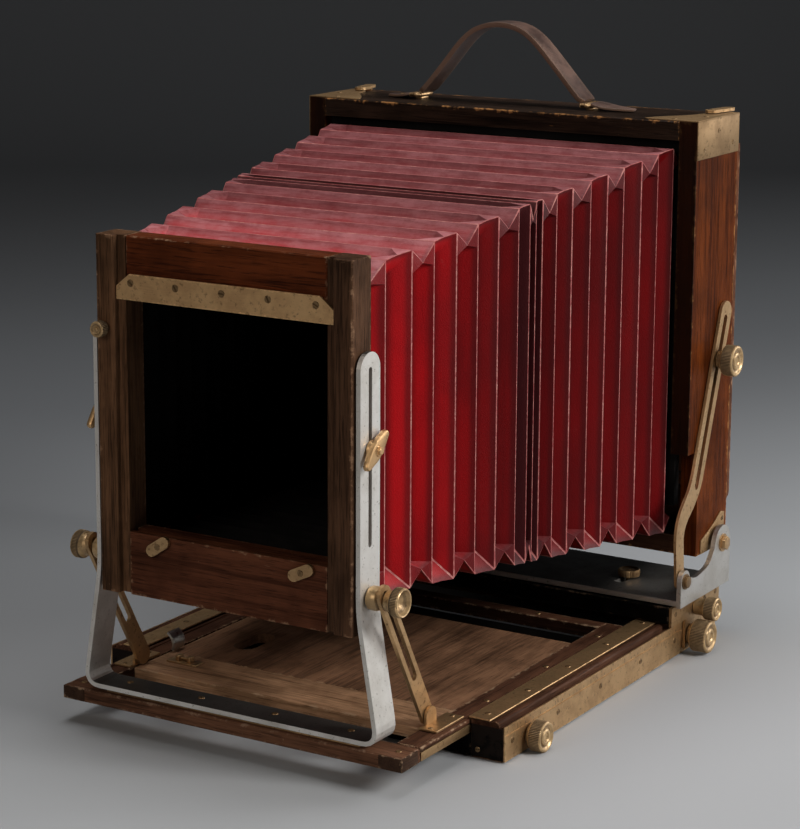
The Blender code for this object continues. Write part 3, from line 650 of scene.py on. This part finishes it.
def pleats(mesh):
    """All the rings from front to back, joined with folded facets; returns the rings and mitre folds."""
    rings, flats = [pleat_ring(mesh, mouth, True)], [False]
    for i, y in enumerate(ridges):
        after = ridges[i + 1] if i + 1 < len(ridges) else 2 * tail - y
        flat = i % 2 == 0 and i + 1 < len(ridges)
        rings += [pleat_ring(mesh, y), pleat_ring(mesh, (y + after) / 2, True, flat)]
        flats += [flat, flat]
    crests = []
    for step, (here, there) in enumerate(zip(rings, rings[1:])):
        ridge_first = step % 2 == 1
        flat = flats[step + 1] if ridge_first else flats[step]
        near, far = (here, there) if ridge_first else (there, here)
        for i in range(facets):
            j, spot = (i + 1) % facets, i % 6
            if spot in (2, 5) or (not flat and spot in (0, 4)):
                quads = [(here[i], here[j], there[j], there[i])]
            else:
                key, end = (j, i) if spot in (0, 3) else (i, j)
                if flat and spot in (1, 3):
                    quads = [(far[end], near[key], near[end]), (far[end], far[key], near[key])]
                else:
                    quads = [(near[end], near[key], far[key]), (near[end], far[key], far[end])]
            for quad in quads:
                mesh.faces.new(quad)
        crests += [(here[k], there[k]) for k in ((1, 10) if flat else (1, 4, 7, 10))]
        if flat:
            crests += [(near[4], far[3]), (near[7], far[8])]
    return rings, crests


# The half-width, middle height and half-height at the mouth, and what each gains by the tail.
taper = (91.0, 48.5), (214.25, 6.75), (101.25, 34.25)
mouth, tail, fold, mitre = -218.6, 104.0, 10.5, 14.5
lining_gap, crest_width, facets = 0.9, 0.65, 12
ridges = [-202.3, -177.9, -156.8, -135.3, -114.3, -93.8, -73.0, -61.4, -54.9, -48.5,
          -33.3, -16.7, 3.4, 21.7, 40.3, 60.4, 79.7, 97.5]
whole = bmesh.new()
rings, crests = pleats(whole)
bmesh.ops.recalc_face_normals(whole, faces=whole.faces)
lining = bmesh.ops.duplicate(whole, geom=whole.verts[:] + whole.edges[:] + whole.faces[:])["geom"]
cloth_faces = [part for part in lining if isinstance(part, bmesh.types.BMFace)]
deeper = {}
for vert in (part for part in lining if isinstance(part, bmesh.types.BMVert)):
    sink = vert.normal * -lining_gap * min(2.4, vert.calc_shell_factor())
    deeper[vert] = Vector((sink.x, 0.0 if vert.is_boundary else sink.y, sink.z))
for vert, sink in deeper.items():
    vert.co += sink
for face in cloth_faces:
    face.material_index = 2
bmesh.ops.reverse_faces(whole, faces=cloth_faces)
folds = []
for ring in rings[1:-1:2]:
    folds += [whole.edges.get((ring[i], ring[(i + 1) % facets])) for i in range(facets)]
folds += [whole.edges.get(pair) for pair in crests]
worn = bmesh.ops.bevel(whole, geom=[e for e in folds if e], offset=crest_width, segments=2, profile=0.5,
                       affect='EDGES', material=-1)["faces"]
for face in worn:
    face.material_index = 1
for end in (mouth, tail):
    rim = [e for e in whole.edges if e.is_boundary and all(abs(v.co.y - end) < 0.02 for v in e.verts)]
    bmesh.ops.bridge_loops(whole, edges=rim)

red, shader, point = blank("red_leather")
cloud = noise(point, 9, 4, 0.6)
dust = noise(point, 70, 6, 0.7)
skin = wire("ShaderNodeTexVoronoi", {"Vector": point, "Scale": 1150}, feature='F1')
streak = noise(stretched(point, (1, 1, 0.07)), 160, 4, 0.6)
aside, back, height = axes(point)
share = maths('DIVIDE', minus(back, mouth * MM), (tail - mouth) * MM)
half, middle, rise = (plus(times(share, gained * MM), first * MM) for first, gained in taper)
outness = larger(minus(unsigned(aside), half), minus(unsigned(minus(height, middle)), rise))
# Painted shade: darker where the leather lies inside its outer faces, near black deep in the valleys, and
# over the squeezed pleats.
painted_shade = times(between(outness, -0.0042, -0.0012), 0.62)
valley_shade = between(outness, -0.006, -0.0105, 0.0, 0.75)
squeezed_shadow = times(between(back, -0.0735, -0.0705), between(back, -0.034, -0.047))
colour = tint(between(cloud, 0.35, 0.65), (0.42, 0.004, 0.007), (0.28, 0.0035, 0.006))
colour = tint(between(streak, 0.5, 0.78, 0.0, 0.35), colour, (0.13, 0.003, 0.005))
# Painted shade: the leather, and the dust on its top, darken towards the tail.
tail_shade = between(back, -0.17, -0.08)
colour = tint(tail_shade, colour, (0.38, 0.45, 0.4), 'MULTIPLY')
painted_shade = larger(larger(painted_shade, valley_shade), times(squeezed_shadow, 0.93))
colour = tint(painted_shade, colour, (0.035, 0.004, 0.005))
# Where the top faces up it is paler: dust, and a painted sheen.
facing_up = times(between(upward(), 0.15, 0.95), between(height, 0.15, 0.25, 0.3, 1.0))
dust_and_sheen = times(facing_up, between(dust, 0.25, 0.7, 0.45, 0.95))
swept = noise(stretched(point, (0.12, 1, 1)), 420, 4, 0.65)
dust_and_sheen = times(dust_and_sheen, between(swept, 0.32, 0.62, 0.55, 1.0))
colour = tint(dust_and_sheen, colour, tint(tail_shade, (0.52, 0.20, 0.215), (0.31, 0.115, 0.122)))
colour = tint(between(dust, 0.66, 0.8, 0.0, 0.22), colour, (0.40, 0.10, 0.10))
gloss = plus(between(cloud, 0.3, 0.7, 0.42, 0.5), times(dust_and_sheen, 0.14))
dress(shader, colour, gloss, plus(skin, times(dust, 0.5)), 0.00012, specular=0.12)

pink, shader, point = blank("worn_fold")
chips = noise(point, 260, 5, 0.7)
bare = between(noise(point, 60, 4, 0.65), 0.3, 0.62)
colour = tint(between(chips, 0.38, 0.62), (0.32, 0.065, 0.065), (0.52, 0.22, 0.19))
colour = tint(times(bare, 0.5), colour, (0.28, 0.03, 0.033))
dress(shader, colour, between(chips, 0.3, 0.7, 0.5, 0.7), chips, 0.0001)

cloth, shader, point = blank("black_lining")
weave = wire("ShaderNodeTexVoronoi", {"Vector": point, "Scale": 1400}, feature='F1')
colour = tint(between(noise(point, 40), 0.4, 0.7), (0.0035, 0.0033, 0.0032), (0.007, 0.006, 0.006))
dress(shader, colour, between(weave, 0.0, 0.6, 0.85, 0.95), weave, 0.0001, specular=0.1)

start = mouth
for joint, ahead, behind, length in (
        ("front_tilt", "front_frame", "slide_studs", 27.0), ("front_rise", "slide_studs", "front_yoke", 27.0),
        ("yoke_tilt", "front_yoke", "sled", 45.0), ("front_focus", "sled", "bed", 60.0),
        ("rear_focus", "bed", "carriage", 84.0), ("rear_swing", "carriage", "rear_yoke", 19.6),
        ("rear_tilt", "rear_yoke", "rear_frame", 60.0)):
    stop = start + length
    part = whole.copy()
    for plane, side in ((start, -1), (stop, 1)):
        if mouth + 1 < plane < tail - 1:
            everything = part.verts[:] + part.edges[:] + part.faces[:]
            cut = bmesh.ops.bisect_plane(part, geom=everything, dist=0.0001, plane_co=(0, plane, 0),
                                         plane_no=(0, side, 0), clear_outer=True)["geom_cut"]
            bmesh.ops.bridge_loops(part, edges=[g for g in cut if isinstance(g, bmesh.types.BMEdge)])
    made = piece("bellows_" + joint, part, [red, pink, cloth], None, 24)
    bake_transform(made)
    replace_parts(made, "bellows")
    start = stop
whole.free()


# ---------- the rear carriage ----------
# A black board that slides on the bed, between brass end plates with a bracket for the focusing
# pinion. The lower knurled knob drives the rack; the smaller one above it locks the carriage.

finish_node("carriage_block", black_paint("carriage_paint", "carriage_block"))
for node in ("carriage_side_left", "carriage_side_right"):
    brass_finish(node, tone=0.8)


def ringed(shaft, neck, waist, neck_radius, grip, end, radius):
    """A knob's outline along its axis: shaft, neck, knurled grip, and a face turned with rings."""
    body = [(shaft, 0), (shaft, 3), (neck, 3), (neck, neck_radius - 0.3), (neck + 0.5, neck_radius),
            (waist, neck_radius), (grip - 1, radius * 0.92), (grip, radius)]
    face = ((1.1, 1), (0.4, 0.97), (0, 0.88), (0.2, 0.8), (1, 0.73), (1.4, 0.66), (1.3, 0.58),
            (0.5, 0.53), (0, 0.44), (0.1, 0.33), (0.9, 0.26), (1.1, 0.12), (1, 0))
    return body + [(end - depth, radius * share) for depth, share in face]


lock_y = 117.0
for name, body, y, z, sizes, teeth in (
        ("rear_focus", "rear_pinion", 108.5, 12.2, (153.9, 156, 158.8, 7.5, 160.2, 171.8, 11.3), 64),
        ("carriage_lock", "carriage_lock", lock_y, 30.4, (153.9, 156, 163.4, 6, 164.8, 172.6, 8.3), 48),
        ("front_focus", "front_pinion", -124.5, 9.5, (151, 153.8, 156.1, 7, 157.2, 165.6, 10), 58)):
    grip, end, radius = sizes[4:]
    knob(name, name + "_knob", body, ringed(*sizes), "X", (0, y, z), (grip, end - 1), radius, teeth)
nut_x, nut_z = 103, 43.9
nut = [(-13.9, 0), (-13.9, 2.4), (0, 2.4), (0, 5.8), (0.6, 7.4), (1, 7.8), (4.6, 7.9), (5.4, 7.5), (5.7, 6.8),
       (5.4, 5.8), (4.9, 5.0), (4.9, 2.0), (5.3, 1.4), (5.3, 0)]
for side, word in both_sides:
    mesh = bmesh.new()
    lathe(mesh, nut, "Z", (side * nut_x, lock_y, nut_z), teeth=40, rim=7.3)
    metal = brass("swing_brass_" + word, along="X", tone=0.62, shine=0.3)
    node = "swing_nut_" + word
    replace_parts(piece(node, mesh, [metal], node, smooth=28), node)
side_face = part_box("carriage_side_right")[1].x / MM
places = [((side * side_face, y, 33), (side, 0, 0)) for side in (-1, 1) for y in (84, 132, 150)]
screws("carriage_screws", "carriage", places, screw_brass, 2.2)


# ---------- the rear yoke ----------
# A flat aluminium plate with cast ears at its ends; the rear frame tilts on a hex bolt through
# each ear, and the slotted stays pivot on a smaller bolt at the ears' front.

# Painted shade nearly blacks the plate's upward faces between the ears, under the bellows.
finish_node("rear_yoke", aluminium("rear_yoke_aluminium", (0.006, 0.0055, 0.005), 0.09, 0.7, 0.92))
ear_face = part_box("rear_yoke")[1].x / MM


def bolt(mesh, centre, direction, radius, sides, tall):
    """A bolt head with chamfered corners on a round washer, in a mesh of its own."""
    rim = radius * 1.3
    washer = bmesh.ops.create_cone(mesh, cap_ends=True, segments=32, radius1=rim, radius2=rim,
                                   depth=0.8)["verts"]
    head = bmesh.ops.create_cone(mesh, cap_ends=True, segments=sides, radius1=radius, radius2=radius,
                                 depth=tall)["verts"]
    edges = list(set(e for v in head for e in v.link_edges if all(u.co.z > 0 for u in e.verts)))
    bmesh.ops.translate(mesh, verts=washer, vec=(0, 0, 0.4))
    bmesh.ops.translate(mesh, verts=head, vec=(0, 0, 0.8 + tall / 2))
    bmesh.ops.bevel(mesh, geom=edges, offset=0.6, segments=2, profile=0.5, affect='EDGES', material=-1)
    bmesh.ops.transform(mesh, matrix=facing(direction, centre), verts=mesh.verts)


bolt_brass = brass("bolt_brass", along="Y", tone=0.9, shine=0.3)
for side, word in both_sides:
    for name, y, z, radius, sides, tall, metal in (
            ("tilt_bolt_", 146, 71, 5.0, 6, 3.2, bolt_brass),
            ("stay_bolt_", 84.5, 57.5, 4.2, 24, 2.0, dark_screw)):
        mesh = bmesh.new()
        bolt(mesh, (side * ear_face, y, z), (side, 0, 0), radius, sides, tall)
        piece(name + word, mesh, [metal], "rear_yoke", smooth=30)


# ---------- the rear frame ----------
# A mahogany box, polished reddish brown outside. Brass plates with a scalloped edge bind its top
# corners and its feet; slotted brass stays with knurled knobs hold its tilt.

polished = (0.030, 0.0055, 0.0012), (0.115, 0.026, 0.0045)
# The side boards are given a brow, so their front faces carry painted shade.
for node, along, dark, light, wear in (
        ("rear_side_left", "Z", *polished, 1.3), ("rear_side_right", "Z", *polished, 1.3),
        ("rear_top_board", "X", (0.0065, 0.004, 0.0028), (0.029, 0.017, 0.0115), 1.2),
        ("rear_bottom_rail", "X", (0.025, 0.011, 0.007), (0.08, 0.036, 0.021), 0.8)):
    finish_node(node, wood(node + "_wood", node, along, dark, light, wear, (0.36, 0.17, 0.06), 0.36,
                           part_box(node)[0].y if "side" in node else None))
for node in ("rear_stay_left", "rear_stay_right"):
    brass_finish(node, along="Z", tone=0.95, shine=0.34)
stay_y, stay_z, stay_radius = 137.68, 205.22, 10.9
outline = ringed(148, 158.6, 162.6, 6.4, 164.2, 172.6, stay_radius)
for side, word in both_sides:
    knob("stay_knob_" + word, "stay_knob_" + word, "stay_knob_" + word, across(side, outline), "X",
         (0, stay_y, stay_z), (164, 171.4), stay_radius, 64)

box_low, box_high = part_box("rear_side_right")
wall, roof = box_high.x / MM, box_high.z / MM
brow, stern = box_low.y / MM, box_high.y / MM
sheet, corner_foot, scallops = 0.8, 348.5, 14
foot = [(0, y, z) for y, z in ((121, 67.2), (160, 67.2), (160, 90), (154, 91.5), (146, 87), (138, 83),
                               (121, 77))]

places = []
for side, word in both_sides:
    mesh = bmesh.new()
    cheek = [(0, brow + 0.4, corner_foot), (0, stern, corner_foot), (0, stern, roof), (0, brow + 0.4, roof)]
    plate(mesh, cheek, (side * wall, 0, 0), (side * sheet, 0, 0))
    outline = [(wall + sheet, brow + 0.4), (wall + sheet, stern), (wall - 12, stern)]
    for t in [i / scallops for i in range(scallops + 1)]:
        outline.append((wall - 8 - 33 * t - 3.2 * math.sin(t * 9.4) * (1 - t),
                        brow + 4 + (stern - brow - 10) * (1 - t) * 0.98))
    outline.append((wall - 38, brow + 1.5))
    plate(mesh, [(side * x, y, 0) for x, y in outline], (0, 0, roof), (0, 0, sheet))
    metal = brass("corner_brass_" + word, along="Y", tone=0.5, shine=0.5)
    piece("corner_plate_" + word, mesh, [metal], "rear_frame", smooth=30)
    mesh = bmesh.new()
    plate(mesh, foot, (side * wall, 0, 0), (side * sheet, 0, 0))
    metal = brass("foot_brass_" + word, along="Y", tone=0.7, shine=0.46)
    piece("foot_plate_" + word, mesh, [metal], "rear_frame", smooth=30)
    places += [((side * (wall + sheet), y, z), (side, 0, 0))
               for y, z in ((108.2, 354.9), (154.4, 355.7), (131, 366), (156, 86))]
    places += [((side * (wall - x), brow + y, roof + sheet), (0, 0, 1)) for x, y in ((20, 6.5), (7, 30))]
screws("corner_screws", "rear_frame", places, screw_brass, 2.0)

# The black board behind the bellows, which its last fold is glued to.
mesh = bmesh.new()
sill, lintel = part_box("rear_bottom_rail")[1].z / MM + 0.4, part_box("rear_top_board")[0].z / MM + 15.6
cheek, front, back = box_low.x / MM - 0.4, 104.4, 112
for low_x, high_x, low_z, high_z in ((-cheek, -126, sill, lintel), (126, cheek, sill, lintel),
                                     (-126.2, 126.2, sill, 98), (-126.2, 126.2, 343, lintel)):
    block(mesh, (low_x, front, low_z), (high_x, back, high_z))
piece("bellows_board", mesh, [cloth], "rear_frame", 30)
latch_y, latch_pivot = 146, 3.6
for side, word in both_sides:
    latch = "back_latch_" + word
    brass_finish(latch, True, shine=0.34)
    low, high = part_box(latch)
    turn_x = (low.x if word == "right" else high.x) / MM + side * latch_pivot
    screws("latch_screw_" + word, latch, [((turn_x, latch_y, high.z / MM), (0, 0, 1))], screw_brass)


# ---------- the back ----------
# A lift-off mahogany back with a sprung frame inside it that carries the ground glass. Brass
# corner straps stiffen the frame, and two flat brass springs press it home.

for node, along, dark, light in (("back_frame", "X", (0.045, 0.016, 0.009), (0.13, 0.052, 0.027)),
                                 ("ground_glass_frame", "Z", (0.05, 0.018, 0.010), (0.15, 0.06, 0.03))):
    finish_node(node, wood(node + "_wood", node, along, dark, light, 0.9, (0.3, 0.17, 0.1), 0.36))
frosted, shader, point = blank("ground_glass")
grit = noise(point, 2600, 2, 0.6)
smear = noise(point, 14, 4, 0.6)
dress(shader, tint(between(smear, 0.35, 0.65), (0.62, 0.66, 0.65), (0.5, 0.54, 0.53)),
      between(smear, 0.3, 0.7, 0.48, 0.62), grit, 0.00005)
shader.inputs["Transmission Weight"].default_value = 0.55
finish_node("ground_glass", frosted)

frame_low, frame_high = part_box("ground_glass_frame")
holder_face = frame_high.y / MM
mesh = bmesh.new()
places, strap_sheet, spring_x, spring_z = [], 0.7, 136, 225
for side in (-1, 1):
    for level, lift in ((frame_low.z / MM, 1), (frame_high.z / MM, -1)):
        corner = (side * (frame_high.x / MM - 1.2), holder_face, level + lift * 1.2)
        arm = [(0, 0, 0), (-side * 32, 0, 0), (-side * 32, 0, lift * 9), (-side * 12, 0, lift * 11),
               (-side * 11, 0, lift * 12), (-side * 9, 0, lift * 32), (0, 0, lift * 32)]
        plate(mesh, arm, corner, (0, strap_sheet, 0))
        places += [((corner[0] - side * x, holder_face + strap_sheet, corner[2] + lift * z), (0, 1, 0))
                   for x, z in ((26, 4.5), (4.5, 26), (5, 5))]
    spring = [(0, 0, -60), (side * 7, 0, -60), (side * 7, 0, 60), (0, 0, 60)]
    plate(mesh, spring, (side * spring_x, holder_face + 1.7, spring_z), (0, 0.6, 0))
strap_brass = brass("back_strap_brass", along="Z", tone=0.95)
piece("back_corner_straps", mesh, [strap_brass], "glass_holder", smooth=30)
screws("back_strap_screws", "glass_holder", places, screw_brass, 2.0)


# ---------- the handle ----------
# Two thicknesses of brown bridle leather stitched along both edges and creased, its ends folded
# round brass loops that are held to the top board by leaf-shaped leather tabs.

hide, shader, point = blank("strap_leather")
run, cross = axes(wire("ShaderNodeUVMap", uv_map="strap"))[:2]
from_edge = minus(0.5, unsigned(minus(cross, 0.5)))
groove = between(unsigned(minus(from_edge, 0.13)), 0.03, 0.0)
dashes = between(maths('SINE', times(run, 620.0)), -0.2, 0.3)
stitch = times(groove, dashes)
grit = wire("ShaderNodeTexVoronoi", {"Vector": point, "Scale": 900}, feature='F1')
cloud = noise(point, 48, 5, 0.6)
cracks = noise(stretched(point, (1, 0.3, 1)), 420, 4, 0.7)
colour = tint(between(cloud, 0.36, 0.64), (0.042, 0.023, 0.018), (0.096, 0.050, 0.035))
colour = tint(between(cracks, 0.6, 0.74, 0.0, 0.7), colour, (0.17, 0.10, 0.07))
colour = tint(between(from_edge, 0.07, 0.0, 0.0, 0.8), colour, (0.15, 0.085, 0.055))
colour = tint(times(stitch, 0.7), colour, (0.14, 0.10, 0.065))
height = minus(plus(times(grit, 0.4), stitch), times(groove, 1.4))
dress(shader, colour, between(cloud, 0.3, 0.7, 0.42, 0.6), height, 0.0003)


def strap(name, spine, widths, thick, body, crown=0.5):
    """A leather strap bent along a line of (x, z) points; widths are across it in Y."""
    mesh = bmesh.new()
    bmesh.ops.create_grid(mesh, x_segments=len(spine) - 1, y_segments=8, size=0.5)
    chart = mesh.loops.layers.uv.new("strap")
    for face in mesh.faces:
        for loop in face.loops:
            loop[chart].uv = (loop.vert.co.x + 0.5, loop.vert.co.y + 0.5)
    for vert in mesh.verts:
        i = round((vert.co.x + 0.5) * (len(spine) - 1))
        share = vert.co.y
        here = Vector(spine[i])
        ahead = Vector(spine[min(i + 1, len(spine) - 1)]) - Vector(spine[max(i - 1, 0)])
        lift = Vector((-ahead.y, ahead.x)).normalized() * crown * (1 - 4 * share * share)
        vert.co = (here.x + lift.x, strap_y + share * widths[i], here.y + lift.y)
    bmesh.ops.recalc_face_normals(mesh, faces=mesh.faces)
    made = piece(name, mesh, [hide], body, 0)
    made.data.shade_smooth()
    solid = made.modifiers.new("two_layers", 'SOLIDIFY')
    solid.thickness, solid.offset = thick * MM, 0.0
    soft = made.modifiers.new("eased_edges", 'BEVEL')
    soft.width, soft.segments, soft.limit_method = 0.7 * MM, 3, 'ANGLE'
    return made


def eased(points, turns=3):
    """Rounds a line of points by cutting its corners."""
    points = [Vector(point) for point in points]
    for _ in range(turns):
        cut = [points[0]]
        for here, there in zip(points, points[1:]):
            cut += [here.lerp(there, 0.25), here.lerp(there, 0.75)]
        points = cut + [points[-1]]
    return points


low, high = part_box("handle_strap")
strap_y = (low.y + high.y) / 2 / MM
centre_x = (low.x + high.x) / 2 / MM
foot_z = roof + 4.6
arch = ((-66, 1), (-62, 4), (-48, 20), (-28, 44.5), (-12, 52), (8, 52.4), (24, 45.5), (46, 22), (62, 4),
        (66, 1))
spine = eased([(centre_x + x, foot_z + z) for x, z in arch])
widths = [20 - 5 * max(0.0, 1 - min(i, len(spine) - 1 - i) / 9) for i in range(len(spine))]
grip = strap("handle_strap_leather", spine, widths, 3.4, None)
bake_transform(grip)
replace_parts(grip, "handle_strap")
for word, inner, outer in (("left", -85, -108), ("right", 63, 92)):
    reach = outer - inner
    line = eased([(inner - math.copysign(2, reach), foot_z), (inner + reach * 0.1, roof + 3.4),
                  (inner + reach * 0.4, roof + 2.0), (outer, roof + 1.4)], 2)
    shares = [i / (len(line) - 1) for i in range(len(line))]
    leaf = [15 + 6 * math.sin(math.pi * min(1, share * 1.15)) - 12 * share ** 5 for share in shares]
    strap("handle_tab_" + word, line, leaf, 1.6, "rear_frame", 0.3)
loop_brass = brass("loop_brass", along="X", tone=0.95, shine=0.3)
loop_z, wide, long, wire_radius = roof + 3.4, 3.2, 9.6, 1.7
for word, x in (("left", -80.5), ("right", 58.5)):
    mesh = bmesh.new()
    corners = eased([(x - wide, strap_y - long), (x + wide, strap_y - long), (x + wide, strap_y + long),
                     (x - wide, strap_y + long)], 2)
    for here, there in zip(corners, corners[1:] + corners[:1]):
        step = (there - here).to_3d()
        rod(mesh, wire_radius, step.length + 1.2, step, (*here.lerp(there, 0.5), loop_z), 14)
    block(mesh, (x - 2.6, strap_y - 5, roof), (x + 2.6, strap_y + 5, roof + 1.6))
    piece("handle_loop_" + word, mesh, [loop_brass], "rear_frame", smooth=40)
places = [((x, strap_y, roof + 2.6), (0, 0, 1)) for x in (-97, 77)]
screws("handle_screws", "rear_frame", places, screw_brass, 2.2)


# ---------- the studio ----------
# A pale grey floor that runs up into a backdrop, darkened with painted shade towards the back and the
# left. Soft area lights stand to the right, behind on the right, in front, where the light is warmer,
# and overhead.

paper, shader, point = blank("pale_paper")
view_yaw = math.radians(31.8)
shade = noise(point, 1.2, 3, 0.5)
aside, away = axes(stretched(point, (1, 1, 1), turn=(0, 0, -view_yaw)))[:2]
depth = minus(away, times(aside, 0.5))
colour = tint(between(shade, 0.3, 0.7), (0.355, 0.366, 0.382), (0.378, 0.390, 0.406))
# Painted shade: the paper darkens towards the back and more so to the left, and the backdrop darker still.
colour = tint(between(depth, -0.35, 1.0), colour, (0.125, 0.133, 0.144))
colour = tint(between(depth, 1.0, 2.6), colour, (0.088, 0.092, 0.099))
dress(shader, colour, between(shade, 0.3, 0.7, 0.75, 0.85), noise(point, 500), 0.00003)
mesh = bmesh.new()
floor_end, cove, half_width, sunk = 2600, 900, 9000, 0.6
turns = [math.radians(a) for a in range(10, 91, 10)]
sweep = [(-6000, 0), (floor_end, 0)]
sweep += [(floor_end + cove * math.sin(a), cove - cove * math.cos(a)) for a in turns]
verts = [mesh.verts.new((-half_width, y, z - sunk)) for y, z in sweep + [(floor_end + cove, 5200)]]
edges = [mesh.edges.new(pair) for pair in zip(verts, verts[1:])]
grown = bmesh.ops.extrude_edge_only(mesh, edges=edges)["geom"]
far_edge = [g for g in grown if isinstance(g, bmesh.types.BMVert)]
bmesh.ops.translate(mesh, verts=far_edge, vec=(2 * half_width, 0, 0))
bmesh.ops.rotate(mesh, cent=(0, 0, 0), matrix=Matrix.Rotation(view_yaw, 3, 'Z'), verts=mesh.verts)
bmesh.ops.scale(mesh, vec=(MM, MM, MM), verts=mesh.verts)
bmesh.ops.recalc_face_normals(mesh, faces=mesh.faces)
data = bpy.data.meshes.new("studio_floor")
mesh.to_mesh(data)
mesh.free()
data.shade_smooth()
data.materials.append(paper)
floor = bpy.data.objects.new("studio_floor", data)
bpy.context.scene.collection.objects.link(floor)


def soft_light(name, spot, aim, energy, width, height, colour):
    lamp = bpy.data.lights.new(name, 'AREA')
    lamp.shape, lamp.size, lamp.size_y = 'RECTANGLE', width, height
    lamp.energy, lamp.color = energy, colour
    item = bpy.data.objects.new(name, lamp)
    spot = Vector(spot)
    item.matrix_world = facing(spot - Vector(aim), spot)
    bpy.context.scene.collection.objects.link(item)


soft_light("key_light", (1.7, 0.05, 1.15), (0, 0, 0.15), 30, 0.7, 0.7, (1.0, 0.98, 0.95))
soft_light("back_light", (1.35, 1.7, 0.8), (0, 0, 0.2), 19, 1.3, 1.0, (1.0, 0.99, 0.97))
soft_light("front_light", (-0.2, -2.3, 1.2), (0, 0, 0.2), 13.5, 1.2, 1.0, (1.0, 0.90, 0.79))
soft_light("top_light", (-0.1, 0.1, 1.6), (0, 0, 0.3), 11, 0.9, 0.6, (1.0, 1.0, 1.0))
world = bpy.data.worlds.new("studio_air")
world.use_nodes = True
air = world.node_tree.nodes["Background"].inputs
air["Color"].default_value, air["Strength"].default_value = (0.55, 0.58, 0.62, 1.0), 0.04
bpy.context.scene.world = world
bpy.context.scene.view_settings.view_transform = 'Standard'

view_pitch, view_roll = math.radians(11.98), math.radians(0.15)
lens = bpy.data.cameras.new("studio_camera")
lens.lens, lens.shift_x, lens.shift_y = 110.77, 0.0342, -0.0553
eye = bpy.data.objects.new("studio_camera", lens)
behind = Vector((math.sin(view_yaw) * math.cos(view_pitch), -math.cos(view_yaw) * math.cos(view_pitch),
                 math.sin(view_pitch)))
eye.matrix_world = facing(behind, (0.87166, -1.47322, 0.56803)) @ Matrix.Rotation(view_roll, 4, 'Z')
bpy.context.scene.collection.objects.link(eye)
bpy.context.scene.camera = eye
